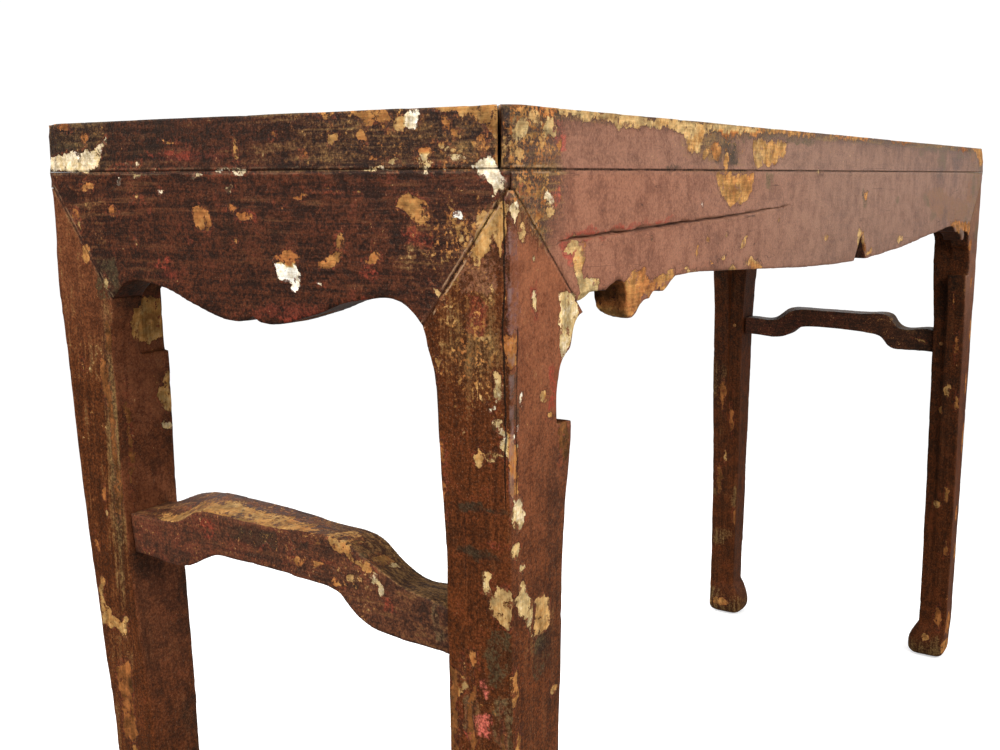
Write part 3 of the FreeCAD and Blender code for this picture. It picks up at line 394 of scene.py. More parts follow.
flakes_front = [
    (0.5, 301, 811, 312, 799, 325, 790, 338, 784, 358, 784, 375, 788, 386, 795, 389, 805, 385, 812, 340, 808,
    330, 812, 318, 812), (0.63, 50, 851, 56, 847, 62, 845, 94, 843, 108, 845, 124, 844, 143, 841, 160, 838, 174, 843,
    198, 843, 219, 840, 238, 837, 252, 829, 265, 824, 278, 831, 270, 841, 293, 843, 314, 841, 342, 841, 399, 847,
    398, 851), (0.44, -2, 717, 6, 716, 7, 697, 4, 695, -2, 697), (0.42, 1177, 740, 1215, 743, 1330, 735, 1342, 722,
    1312, 708, 1295, 724, 1267, 730, 1254, 714, 1231, 729), (0.52, 723, 744, 739, 747, 748, 733, 729, 724, 720, 712,
    712, 722), (0.48, 1300, 851, 1400, 851, 1404, 826, 1385, 820, 1350, 842), (0.46, 382, 739, 403, 736, 419, 728,
    410, 724, 387, 726), (0.42, -2, 660, 3, 660, 6, 651, 8, 644, 9, 634, 8, 620, 4, 618, -2, 618), (0.72, 1, 619,
    12, 617, 14, 608, 16, 601, 15, 595, 8, 594, 6, 599, 2, 596, 0, 605, 2, 613), (0.7, 0, 553, 8, 552, 9, 558,
    14, 560, 20, 554, 25, 546, 24, 530, 28, 519, 26, 516, 22, 529, 18, 534, 11, 537, 7, 541, 6, 547), (0.58, 27, 543,
    36, 544, 48, 540, 46, 529, 44, 517, 35, 518, 29, 518, 28, 529), (0.68, 75, 750, 85, 751, 96, 742, 117, 739,
    110, 733, 103, 724, 93, 723, 88, 728, 84, 735), (0.72, 57, 739, 66, 737, 76, 733, 84, 727, 81, 716, 73, 705,
    62, 694, 57, 703, 60, 714, 57, 724), (0.55, 386, 838, 400, 840, 430, 838, 455, 840, 475, 838, 462, 825, 440, 820,
    418, 817, 392, 816, 386, 826), (0.44, 147, 730, 158, 745, 183, 744, 181, 725, 172, 716, 160, 710, 148, 711),
    (0.52, 230, 847, 278, 846, 276, 832, 262, 824, 252, 828, 240, 838)]
flakes_inner = [
    (0.58, 20, 716, 58, 716, 59, 700, 56, 682, 40, 679, 26, 684, 18, 698), (0.62, 54, 656, 45, 643, 36, 634, 47, 623,
    58, 621, 61, 638, 59, 652)]

# Stains in the lacquer. Their tone runs from 0, black, over 0.25, grey olive, 0.43, rust, 0.53, purple grey, and
# 0.75, red, to 1, pink red.
stains_left = [
    (1.0, 25, 496, 20, 500, 15, 498, 15, 489, 21, 483, 25, 490), (0.95, 27, 469, 21, 476, 14, 467, 16, 459, 25, 458),
    (0.9, 36, 458, 31, 462, 29, 454, 33, 451), (0.12, 38, 608, 21, 609, 2, 610, 2, 606, 21, 605, 38, 603), (0.14,
    39, 581, 26, 580, 9, 578, 9, 575, 26, 575, 39, 577), (0.22, 17, 531, 2, 533, 0, 508, 10, 488, 17, 494, 20, 515),
    (0.32, 14, 481, -2, 487, -2, 440, 12, 440, 15, 467), (0.32, 35, 481, 27, 481, 27, 457, 36, 457), (0.5, 3, 798,
    -2, 798, -2, 717, 4, 717), (0.72, 150, 720, 186, 716, 180, 711, 150, 713, 104, 727, 112, 731), (0.72, 291, 750,
    305, 749, 309, 738, 289, 736), (0.71, 266, 827, 312, 826, 306, 822, 270, 823), (0.72, 97, 744, 110, 756, 115, 749,
    104, 740), (0.72, 54, 775, 84, 776, 80, 769, 60, 766), (0.72, 206, 785, 218, 786, 216, 778, 205, 779), (0.15,
    0, 850, 20, 850, 14, 846, 2, 844), (0.2, 352, 750, 376, 748, 378, 716, 350, 722), (0.1, 386, 826, 424, 826,
    424, 838, 392, 834), (0.44, 8, 782, 24, 788, 40, 756, 38, 738, 10, 742), (0.71, 16, 733, 30, 737, 32, 716,
    18, 711)]
stains_front = [
    (0.18, 28, 518, 44, 514, 49, 502, 44, 492, 33, 490, 27, 496, 27, 506), (0.5, -2, 798, 7, 795, 8, 717, -2, 717),
    (0.1, -2, 696, 9, 693, 10, 658, -2, 661), (0.75, 58, 772, 150, 776, 230, 777, 230, 774, 150, 770, 58, 766), (0.75,
    24, 742, 31, 744, 31, 722, 25, 724), (0.9, 6, 806, 14, 808, 15, 799, 7, 798), (0.85, 44, 800, 58, 806, 60, 796,
    48, 792), (0.85, 57, 832, 66, 836, 65, 822, 58, 820), (0.85, 62, 764, 76, 768, 78, 756, 66, 752), (0.8, 12, 836,
    20, 838, 21, 833, 13, 832), (0.43, 28, 830, 46, 832, 48, 814, 28, 816), (0.82, 32, 823, 38, 824, 38, 818,
    33, 818), (0.43, 12, 804, 34, 804, 32, 784, 12, 786), (0.1, 318, 836, 350, 836, 352, 816, 322, 816), (0.12,
    300, 830, 316, 834, 318, 818, 302, 816), (0.1, 212, 815, 236, 816, 236, 812, 212, 812), (0.4, 1300, 851,
    1340, 851, 1345, 828, 1312, 826), (0.42, 1292, 800, 1340, 804, 1338, 768, 1300, 764), (0.38, 1366, 812, 1400, 812,
    1398, 768, 1372, 772), (0.39, 1022, 787, 1101, 792, 1171, 778, 1293, 772, 1340, 744, 1228, 739, 1158, 744,
    1070, 754), (0.3, 1084, 850, 1140, 850, 1136, 816, 1108, 816), (0.28, 728, 792, 746, 792, 745, 771, 734, 771),
    (0.26, 272, 847, 380, 850, 493, 850, 564, 849, 560, 840, 466, 838, 396, 838, 306, 838), (0.3, 412, 812, 440, 812,
    438, 794, 424, 796), (0.8, 48, 846, 60, 842, 62, 828, 52, 824), (0.75, 45, 690, 52, 692, 54, 664, 47, 662), (0.3,
    1200, 842, 1260, 840, 1256, 832, 1205, 834), (0.28, 1000, 846, 1080, 845, 1074, 838, 1008, 839)]
stains_stretcher = [
    (0.33, 123, 576, 108, 576, 101, 567, 104, 557, 114, 552, 124, 559, 127, 569), (0.34, 66, 536, 59, 533, 56, 511,
    61, 510, 64, 526), (0.05, 188, 556, 173, 559, 172, 552, 187, 550), (0.08, 253, 558, 203, 560, 201, 548, 224, 545,
    249, 548), (0.73, 279, 557, 265, 556, 266, 543, 278, 544), (0.73, 241, 553, 230, 552, 231, 546, 241, 547), (0.73,
    224, 548, 211, 547, 212, 542, 223, 542), (0.74, 172, 572, 150, 570, 151, 566, 170, 567), (0.72, 104, 531, 97, 530,
    97, 522, 104, 523), (0.06, 140, 545, 128, 546, 128, 534, 139, 535)]
faded_front = [
    (880, 778, 8, 4, 0.3), (1030, 776, 24, 7, 0.3, -20), (1082, 754, 20, 7, 0.3), (1142, 756, 28, 9, 0.3),
    (1108, 826, 26, 5, 0.3), (992, 838, 14, 5, 0.3), (1240, 750, 22, 6, 0.3), (1170, 716, 10, 5, 0.3),
    (1262, 722, 30, 6, 0.3), (1300, 742, 16, 7, 0.3), (1340, 790, 20, 16, 0.3), (1322, 838, 30, 6, 0.3),
    (1385, 826, 14, 16, 0.3), (1390, 720, 10, 18, 0.3)]


def outline_distance(along, height, outline):
    """Signed distance to an outline, positive inside: the least distance to its sides, with the sign from how
    many sides a ray to the right crosses."""
    outline = np.array(outline, float).reshape(-1, 2)
    least = np.full(len(along), 1e9)
    inside = np.zeros(len(along), bool)
    for (x_one, z_one), (x_two, z_two) in zip(outline, np.roll(outline, -1, 0)):
        run = np.array([x_two - x_one, z_two - z_one])
        share = np.clip(((along - x_one) * run[0] + (height - z_one) * run[1]) / (run @ run), 0.0, 1.0)
        least = np.minimum(least, np.hypot(along - x_one - share * run[0], height - z_one - share * run[1]))
        if z_one != z_two:
            crossing = x_one + (height - z_one) * run[0] / run[1]
            inside ^= ((z_one > height) != (z_two > height)) & (along < crossing)
    return np.where(inside, least, -least)


def spot_field(along, height, spots, outlines=()):
    """Signed distance in millimetres, positive inside, to the nearest of many ellipses and outlines, and the
    tone of that spot. An ellipse's distance is (1 - its scaled radius) times its smaller half size. The
    places are first shifted a little by noise, which makes every outline irregular."""
    key = np.stack([along * mm, height * mm, np.full(len(along), 0.3)], 1)
    along, height = (place + (layered_noise(key, 80.0, seed) - 0.5) * 8.0
                     + (layered_noise(key, 230.0, seed + 2, 2) - 0.5) * 5.0
                     for place, seed in ((along, 61), (height, 67)))
    best = np.full(len(along), -60.0)
    tone = np.full(len(along), 0.45)
    for spot in (*spots, *outlines):
        if len(spot) < 7:
            centre, middle, half_width, half_height, spot_tone, *tilt = spot
            lean = np.radians(tilt[0] if tilt else 0.0)
            right = along - centre
            up = height - middle
            radius = np.hypot((right * np.cos(lean) + up * np.sin(lean)) / half_width,
                              (up * np.cos(lean) - right * np.sin(lean)) / half_height)
            field = (1.0 - radius) * min(half_width, half_height)
        else:
            spot_tone, *outline = spot
            field = outline_distance(along, height, outline)
        nearer = field > best
        best = np.where(nearer, field, best)
        tone = np.where(nearer, spot_tone, tone)
    return np.minimum(best, 2.6), tone


def made_up_spots(count, length, seed, bands=((705, 850), (0, 850))):
    """Wear for a side that the picture doesn't show: spots of the same kinds, spread at random over the face,
    in bands of its height."""
    rng = np.random.default_rng(seed)
    spots = []
    for _ in range(count):
        size = 2.0 + 9.0 * rng.random() ** 2.5
        low, high = bands[rng.integers(len(bands))]
        place = rng.uniform(0, length), rng.uniform(low, high)
        half_sizes = size * rng.uniform(0.7, 1.8), size * rng.uniform(0.5, 1.3)
        tilt = rng.uniform(-30, 30)
        spots.append((*place, *half_sizes, rng.choice([0.25, 0.4, 0.45, 0.55, 0.62, 0.78, 0.9]), tilt))
    return spots


bare_back = made_up_spots(110, long_side, 5) + [(x, 848, 40, 2.2, 0.5) for x in range(80, 1400, 170)]
bare_right = made_up_spots(60, short_side, 6)
bare_top = made_up_spots(80, long_side, 9, ((0, 7), (0, 7), (417, 424), (0, 424)))
bare_inside = made_up_spots(70, long_side, 8)


def seam_distance(points, normals):
    """Distance in millimetres to the nearest joint that shows on an outer face, up to 20."""
    along_x, along_y, height = in_millimetres(points)
    short = mitre_distance(along_y, height, short_side, short_mitre_tip) + 20.0 * (np.abs(normals[:, 0]) < 0.5)
    long = mitre_distance(along_x, height, long_side, long_mitre_tip) + 20.0 * (np.abs(normals[:, 1]) < 0.5)
    return np.clip(np.minimum(np.abs(height - joint_height), np.minimum(short, long)), 0.0, 20.0)


def worn_places(name, points, normals):
    """Distances to the bare spots and to the stains with their tones, from the face that each point lies on, and
    1 for a point on such a face or 0 for one inside the table."""
    along_x, along_y, height = in_millimetres(points)
    faces = [
        (along_x, -normals[:, 0], along_y, height, bare_left, flakes_left, stains_left),
        (along_y, -normals[:, 1], along_x, height, bare_front, flakes_front, stains_front),
        (long_side - along_x, normals[:, 0], along_y, height, bare_right, (), ()),
        (short_side - along_y, normals[:, 1], along_x, height, bare_back, (), ()),
        (table_height / mm - height, normals[:, 2], along_x, along_y, bare_top, (), ()),
    ]
    if name == "leg_back_left":
        inner = np.abs(along_y - (short_side - leg_size))
        faces.append((inner, -normals[:, 1], along_x, height, inner_back_left, flakes_inner, ()))
    if name in ("leg_front_right", "leg_back_right"):
        inner = 0.5 * np.abs(along_x - (long_side - leg_size))
        faces.append((inner, -normals[:, 0], along_y, height, inner_far_legs, (), ()))
    if name == "stretcher_left":
        everywhere = np.ones(len(points))
        faces = [(0.0 * everywhere, everywhere, along_y, height, bare_stretcher, (), stains_stretcher)]
    bare, tone, stain, stain_tone = (np.full(len(points), start) for start in (-60.0, 0.45, -60.0, 0.25))
    outer = np.zeros(len(points))
    for sunk, facing, right, up, spots, flakes, stains in faces:
        near = (sunk < np.where(facing > 0.3, 8.0, 3.5)) & (facing > -0.2)
        if spots is bare_left and name.startswith("leg"):
            near = (sunk < 60.0) & (facing > 0.3) | near
        if not near.any():
            continue
        outer[near] = 1.0
        on_front = spots is bare_front
        for best, best_tone, kinds in ((bare, tone, (spots, flakes)),
                                       (stain, stain_tone, (faded_front if on_front else (), stains))):
            if kinds[1] or best is bare:
                field, spot_tone = spot_field(right[near], up[near], *kinds)
                field = field - np.maximum(0.25 - facing[near], 0.0) * 14.0
                better = field > best[near]
                index = np.flatnonzero(near)[better]
                best[index] = field[better]
                best_tone[index] = spot_tone[better] + 0.06 * (on_front and best is bare)
    if name == "stretcher_left":
        # Its top is rubbed down to the wood along the outer arris
        bare -= np.maximum(along_x - 16.0 - 20.0 * layered_noise(points, 50.0, 41), 0.0)
        rubbed = 2.4 - 0.20 * np.maximum(along_x - 6.0 - 18.0 * layered_noise(points, 40.0, 47), 0.0)
        rubbed -= 0.10 * np.maximum(np.maximum(190.0 - along_y, along_y - 305.0), 0.0)
        rubbed -= 7.0 * (1.0 - smooth_step(normals[:, 2], 0.30, 0.75))
        tone = np.where(rubbed > bare, 0.50 + 0.16 * layered_noise(points, 60.0, 49), tone)
        bare = np.minimum(np.maximum(bare, rubbed), 1.2)
    inside = outer == 0.0
    if inside.any():
        bare[inside], tone[inside] = spot_field(along_x[inside] + 0.4 * along_y[inside], height[inside], bare_inside)
    # The broken side of the lobe is bare wood, dark above and ochre below
    broken = (name == "apron_front") & (along_x > 96) & (along_x < 160) & (height < 752) & (along_y > 2)
    broken &= normals[:, 0] < -0.35
    bare = np.where(broken, 2.6, bare)
    tone = np.where(broken, 0.62 - 0.36 * smooth_step(height + 9.0 * layered_noise(points, 60.0, 83), 717, 731), tone)
    return bare, tone, stain, stain_tone, outer


def marks(along, height, rows):
    """Sum of soft oval marks, each a bell curve. A row is along, height, half width, half height and weight."""
    return sum(weight * np.exp(-((along - centre) / half_width) ** 2 - ((height - middle) / half_height) ** 2)
               for centre, middle, half_width, half_height, weight in rows)


def paint_fields(piece, name):
    """Point attributes that the finishes read. bare and stain are distances to worn spots, seam is the distance
    to a joint and split the signed distance to the long crack beside the near arris. The other weights run
    from 0 to 1 over parts of the faces: chipped, red and olive; dark, for dark marks and painted shade; the
    weight of the faded pink lacquer, which also stands for painted light on the lit faces and on some shaded
    ones; and the weight of a painted sheen that greys the front towards its far end."""
    mesh = piece.data
    points = mesh_points(mesh)
    normals = mesh_normals(mesh)
    along_x, along_y, height = in_millimetres(points)
    bare, tone, stain, stain_tone, outer = worn_places(name, points, normals)
    on_left = smooth_step(-normals[:, 0], 0.2, 0.7) * (along_x < 70.0)
    on_front = smooth_step(-normals[:, 1], 0.2, 0.7) * (along_y < 70.0)
    on_top = smooth_step(normals[:, 2], 0.25, 0.7)
    top_rail = smooth_step(height, 811.0, 813.5)
    is_leg = name.startswith("leg")
    shift = 42.0 * (layered_noise(points, 36.0, 51) - 0.5)
    rough_corner = (1 - smooth_step(along_x + shift, 40, 74)) * smooth_step(height + shift, 760, 786)

    # Faded pink lacquer on the front, weaker towards the floor: partly real fading, partly painted light for the
    # stronger light on that side
    film_and_painted_light = on_front * (0.02 + 0.98 * smooth_step(height, 500.0, 770.0)) * (1 - 0.74 * rough_corner)
    film_and_painted_light *= (1 - 0.5 * smooth_step(height, 838, 846)) * (1 - 0.12 * is_leg)
    film_and_painted_light *= 1 - 0.42 * smooth_step(along_x, 760, 1000) * smooth_step(layered_noise(points, 20.0, 43), 0.54, 0.66)
    # Faces turned to the back, near the back, are lightened the same way: painted light
    film_and_painted_light = np.maximum(film_and_painted_light, 0.35 * smooth_step(normals[:, 1], 0.2, 0.7) * (along_y > 350))

    chipped = 0.30 + 0.25 * layered_noise(points, 6.0, 3)
    chipped += on_left * (top_rail * (0.32 - 0.22 * smooth_step(along_y, 120, 230))
                          + 0.10 * smooth_step(along_y, 330, 370)
                          + marks(along_y, height, [(32, 705, 40, 50, 0.42), (30, 775, 34, 30, 0.22),
                                                    (18, 470, 26, 40, 0.25), (50, 780, 60, 24, 0.25)]))
    chipped += on_front * (0.46 * rough_corner + top_rail * marks(along_x, height, [(320, 832, 140, 14, 0.25)])
                           + marks(along_x, height, [(185, 732, 42, 12, 0.4), (1330, 770, 90, 60, 0.35)])
                           + 0.3 * smooth_step(height, 842, 847)
                           - 0.2 * smooth_step(along_x, 60, 110) * smooth_step(height, 640, 720) * (1 - top_rail))

    dark = on_left * (top_rail * (0.30 + 0.40 * smooth_step(along_y, 170, 300))
                      + marks(along_y, height, [(250, 770, 60, 30, 0.35), (350, 735, 40, 30, 0.3),
                                                (23, 606, 17, 1.8, 0.9), (23, 577, 16, 1.6, 0.9)]))
    dark += on_front * (top_rail * 0.16 * smooth_step(along_x, 450, 900)
                        + marks(along_x, height, [(338, 822, 10, 7, 0.9), (300, 838, 40, 8, 0.4),
                                                  (36, 511, 11, 7, 0.9)])
                        + marks(along_x, height, [(55, 600, 14, 160, 0.45)]) * (height < 640))
    # Points on no outer face, inside the table, are darkened: painted shade
    dark += 0.35 * (1 - outer)

    red = 0.2 + on_left * marks(along_y, height, [
        (296, 740, 12, 6, 0.8), (140, 718, 80, 8, 0.6), (30, 620, 30, 60, 0.12), (270, 824, 40, 5, 0.5),
        (20, 490, 5, 7, 0.5), (21, 467, 5, 8, 0.5)])
    red += on_front * marks(along_x, height, [(100, 769, 60, 2.5, 0.9), (78, 815, 14, 14, 0.35)])

    rubbed_top = 0.55 * smooth_step(layered_noise(points, 4.0, 31), 0.50, 0.66)
    rubbed_top += 0.4 * closeness(np.minimum(short_side - along_y, along_y), 22.0)
    rubbed_top += 0.4 * closeness(np.minimum(long_side - along_x, along_x), 26.0)
    olive = on_top * np.clip(rubbed_top, 0.0, 0.75)
    olive += on_left * (top_rail * (0.55 - 0.3 * smooth_step(along_y, 120, 260))
                        + 0.35 * smooth_step(along_y, 340, 370)
                        + marks(along_y, height, [(30, 470, 9, 20, 0.7), (28, 700, 34, 34, 0.5),
                                                  (72, 765, 26, 30, 0.4), (368, 600, 7, 110, 0.75),
                                                  (26, 745, 40, 60, 0.30)]))
    olive += on_front * (0.80 * rough_corner + top_rail * marks(along_x, height, [(300, 832, 70, 15, 0.9)])
                         + 0.8 * smooth_step(height, 839, 845)
                         + marks(along_x, height, [(350, 800, 50, 18, 0.5), (1340, 780, 90, 80, 0.6),
                                                   (36, 520, 18, 26, 0.7), (20, 700, 60, 60, 0.25)]))
    olive += 0.75 * (1 - smooth_step(height + 36.0 * (layered_noise(points, 40.0, 35) - 0.5), 8, 62))

    # Inner faces of the far legs and of the back left leg, which the picture shows. The far legs' inner faces are
    # darkened, more towards the top: painted shade.
    inner_right = (along_x > 1300) * smooth_step(-normals[:, 0], 0.3, 0.7)
    dark += inner_right * (0.25 + 0.45 * smooth_step(height, 150, 560))
    rubbed = smooth_step(layered_noise(points, 13.0, 37), 0.50, 0.62) * (1 - smooth_step(height, 420, 620))
    olive += 0.7 * inner_right * rubbed
    if name == "leg_back_left":
        # The inner face gets lighter lacquer, painted light, except in dark blotches, and a dark band at the top
        # under the apron, painted shade
        inner_face = smooth_step(-normals[:, 1], 0.3, 0.7)
        dark_blotches = smooth_step(layered_noise(points, 20.0, 57), 0.50, 0.62)
        film_and_painted_light = np.maximum(film_and_painted_light, inner_face * (0.06 + 0.38 * smooth_step(height, 330, 560)) * (1 - 0.6 * dark_blotches))
        film_and_painted_light = np.maximum(film_and_painted_light, 0.32 * on_left * smooth_step(height, 640, 740))
        dark += inner_face * (0.40 * dark_blotches + 0.75 * smooth_step(height + 16.0 * dark_blotches, 694, 722))
    if name == "apron_front":
        # Inside of the long crack
        dark += 0.9 * (along_y > 1.6) * (along_y < 11) * (height > 762) * (height < 788)
    if name.startswith("stretcher"):
        olive = on_top * 0.42 + 0.26 * (1 - smooth_step(along_y, 60, 190)) + 0.16
        red = red + 0.34 * smooth_step(along_y, 140, 200)
        # Undersides are darkened, and the whole right stretcher more: painted shade. The near end is darker too.
        dark = 0.25 * smooth_step(-normals[:, 2], 0.3, 0.7) + 0.35 * (1 - smooth_step(along_y, 56, 120))
        dark += 0.55 * (along_x > 700)
        chipped = chipped + 0.2 - 0.4 * (1 - smooth_step(along_y, 60, 130))

    wander = (layered_noise(np.stack([height * mm, height * 0, height * 0], 1), 16.0, 77) - 0.5) * 5.0
    faces_left = -normals[:, 0] > 0.5
    split = np.where(faces_left, along_y - 4.4 - wander, along_x - 7.0 - wander * 0.6)
    split_width = smooth_step(height, 600, 640) * (1 - smooth_step(height, 790, 806)) * (name == "leg_front_left")
    round_the_arris = (height < 720) * (height > 616) * (1 - 0.6 * closeness(height - 678, 16))
    split_width *= np.where(faces_left, 1.0, round_the_arris)
    far_mitre = on_left * smooth_step(along_y, 300, 340) * (height < 808)
    left_joint = on_left * closeness(height - joint_height, 6.0)
    weights = {
        "film_and_painted_light": film_and_painted_light, "chipped": chipped, "dark": dark, "red": red, "olive": olive,
        # Painted sheen: the front's lacquer greys towards its far end and on the top rail
        "painted_sheen": on_front * (smooth_step(along_x, 60, 700) + 0.35 * top_rail),
        "seam_light": 0.85 - 0.9 * film_and_painted_light - 0.5 * far_mitre - 0.80 * left_joint}
    fields = {
        "bare": bare, "bare_tone": tone, "stain": stain, "stain_tone": stain_tone, "split": split,
        "split_width": split_width, "seam": seam_distance(points, normals),
        "seam_dark": 1.0 - 0.7 * far_mitre - 0.85 * left_joint - 0.35 * on_front * smooth_step(along_x, 300, 700)}
    for field_name, values in weights.items():
        add_layer(mesh, field_name, np.clip(values, 0.0, 1.0))
    for field_name, values in fields.items():
        add_layer(mesh, field_name, values)


# Finishes

class Value:
    """A value or colour in a node tree, which can be added, multiplied and ramped like a number."""

    def __init__(self, tree, socket):
        self.tree = tree
        self.socket = socket

    def __add__(self, other):
        return self.tree.math("ADD", self, other)

    def __sub__(self, other):
        return self.tree.math("SUBTRACT", self, other)

    def __rsub__(self, other):
        return self.tree.math("SUBTRACT", other, self)

    def __mul__(self, other):
        return self.tree.math("MULTIPLY", self, other)

    __radd__ = __add__
    __rmul__ = __mul__

    def ramp(self, low, high, to_low=0.0, to_high=1.0, kind="SMOOTHSTEP"):
        return self.tree.node("ShaderNodeMapRange", (self, low, high, to_low, to_high), interpolation_type=kind)


class Tree:
    """Short calls for building a node tree: each makes a node, links or sets its inputs, gives its output."""

    def __init__(self, owner):
        self.nodes = owner.nodes
        self.links = owner.links

    def put(self, value, socket):
        if isinstance(value, Value):
            self.links.new(value.socket, socket)
        else:
            socket.default_value = value

    def node(self, kind, inputs=(), output=0, **settings):
        made = self.nodes.new(kind)
        for name, value in settings.items():
            setattr(made, name, value)
        for key, value in (inputs.items() if isinstance(inputs, dict) else enumerate(inputs)):
            self.put(value, made.inputs[key])
        return Value(self, made.outputs[output]) if made.outputs else None

    def group(self, shared, inputs, outputs):
        made = self.nodes.new("ShaderNodeGroup")
        made.node_tree = shared
        for key, value in inputs.items():
            self.put(value, made.inputs[key])
        return [Value(self, made.outputs[name]) for name in outputs]

    def math(self, operation, one, other=0.0, third=0.0):
        return self.node("ShaderNodeMath", (one, other, third), operation=operation)

    def noise(self, vector, scale, detail=3.0, rough=0.5, distortion=0.0):
        return self.node("ShaderNodeTexNoise", {"Vector": vector, "Scale": scale, "Detail": detail,
                                                "Roughness": rough, "Distortion": distortion})

    def mix(self, share, one, other, blend="MIX"):
        made = self.nodes.new("ShaderNodeMix")
        made.data_type = "RGBA"
        made.blend_type = blend
        self.put(share, made.inputs[0])
        for key, value in ((6, one), (7, other)):
            self.put(value if isinstance(value, Value) else (*value, 1.0), made.inputs[key])
        return Value(self, made.outputs[2])

    def shaded(self, colour, shade):
        """Colour multiplied by a grey."""
        return self.mix(1.0, colour, self.node("ShaderNodeCombineColor", (shade, shade, shade)), "MULTIPLY")

    def colours(self, value, first, last, between):
        """Colour ramp from 0 to 1."""
        made = self.nodes.new("ShaderNodeValToRGB")
        stops = made.color_ramp.elements
        stops[0].position, stops[0].color = 0.0, (*first, 1.0)
        stops[1].position, stops[1].color = 1.0, (*last, 1.0)
        for place, colour in between:
            stops.new(place).color = (*colour, 1.0)
        self.put(value, made.inputs[0])
        return Value(self, made.outputs[0])

    def field(self, name):
        return self.node("ShaderNodeAttribute", output="Fac", attribute_name=name, attribute_type="GEOMETRY")


def new_group(name, inputs, outputs):
    group = bpy.data.node_groups.new(name, "ShaderNodeTree")
    for socket, kind in inputs:
        group.interface.new_socket(socket, in_out="INPUT", socket_type=kind)
    for socket in outputs:
        group.interface.new_socket(socket, in_out="OUTPUT", socket_type="NodeSocketFloat")
    tree = Tree(group)
    start = group.nodes.new("NodeGroupInput")
    end = group.nodes.new("NodeGroupOutput")
    return group, tree, [Value(tree, start.outputs[socket]) for socket, _ in inputs], end.inputs


def ragged_edge_group():
    """Mask of a worn spot: its signed distance plus noise in the same millimetres, cut sharply at zero."""
    group, tree, (field, vector, ragged, soft), wanted = new_group(
        "ragged_edge", [("Field", "NodeSocketFloat"), ("Vector", "NodeSocketVector"), ("Ragged", "NodeSocketFloat"),
                        ("Softness", "NodeSocketFloat")], ["Mask", "Rim"])
    coarse = tree.noise(vector, 75.0, 5.0, 0.62)
    fine = tree.noise(vector, 420.0, 3.0, 0.6)
    value = ((coarse - 0.5) + (fine - 0.5) * 0.35) * 2.0 * ragged + field
    mask = value.ramp(soft * -1.0, soft)
    tree.put(mask, wanted["Mask"])
    tree.put(tree.math("MAXIMUM", value.ramp(-1.1, -0.3) - mask, 0.0), wanted["Rim"])
    return group


def timber_grain_group():
    """Grain of a timber along one axis: stretched noise, once as broad bands and once as fine pores."""
    group, tree, (vector,), wanted = new_group("timber_grain", [("Vector", "NodeSocketVector")], ["Bands", "Pores"])
    tree.put(tree.noise(vector, 130.0, 4.0, 0.6, 0.4).ramp(0.32, 0.68), wanted["Bands"])
    tree.put(tree.noise(vector, 620.0, 3.0, 0.65, 0.2).ramp(0.36, 0.64), wanted["Pores"])
    return group


ragged_edge = ragged_edge_group()
timber_grain = timber_grain_group()


def new_finish(name, along):
    """Empty material, the place on the timber, the same place stretched along the grain, and the grain."""
    material = bpy.data.materials.new(name)
    material.use_nodes = True
    tree = Tree(material.node_tree)
    tree.nodes.clear()
    place = tree.node("ShaderNodeTexCoord", output="Object")
    stretch = [1.0, 1.0, 1.0]
    stretch[along] = 0.05
    run = tree.node("ShaderNodeMapping", {"Vector": place, "Scale": stretch})
    bands, pores = tree.group(timber_grain, {"Vector": run}, ["Bands", "Pores"])
    return material, tree, place, run, bands, pores


def close_finish(tree, colour, rough, sheen, height, strength, depth):
    normal = tree.node("ShaderNodeBump", {"Strength": strength, "Distance": depth, "Height": height})
    shader = tree.node("ShaderNodeBsdfPrincipled", {"Base Color": colour, "Roughness": rough, "Normal": normal,
                                                    "Specular IOR Level": sheen})
    tree.node("ShaderNodeOutputMaterial", {"Surface": shader})


def bare_wood_colour(tree, tone, bands, pores, speckle, patches):
    """Colour of wood without lacquer: dark brown, ochre, cream and white along the tone, streaked by the grain
    and darkened in patches."""
    tone = (speckle - 0.5) * 0.80 + tone
    wood = tree.colours(tone, (0.050, 0.025, 0.012), (0.95, 0.92, 0.82), [
        (0.22, (0.140, 0.058, 0.019)), (0.42, (0.47, 0.162, 0.044)), (0.58, (0.56, 0.275, 0.080)),
        (0.78, (0.70, 0.490, 0.215)), (0.9, (0.88, 0.720, 0.490))])
    streaks = (bands * 0.30 + pores * 0.20 + 0.60) * patches.ramp(0.38, 0.60, 0.55, 1.08)
    return tree.shaded(wood, streaks + tone.ramp(0.80, 1.0, 0.0, 0.35))


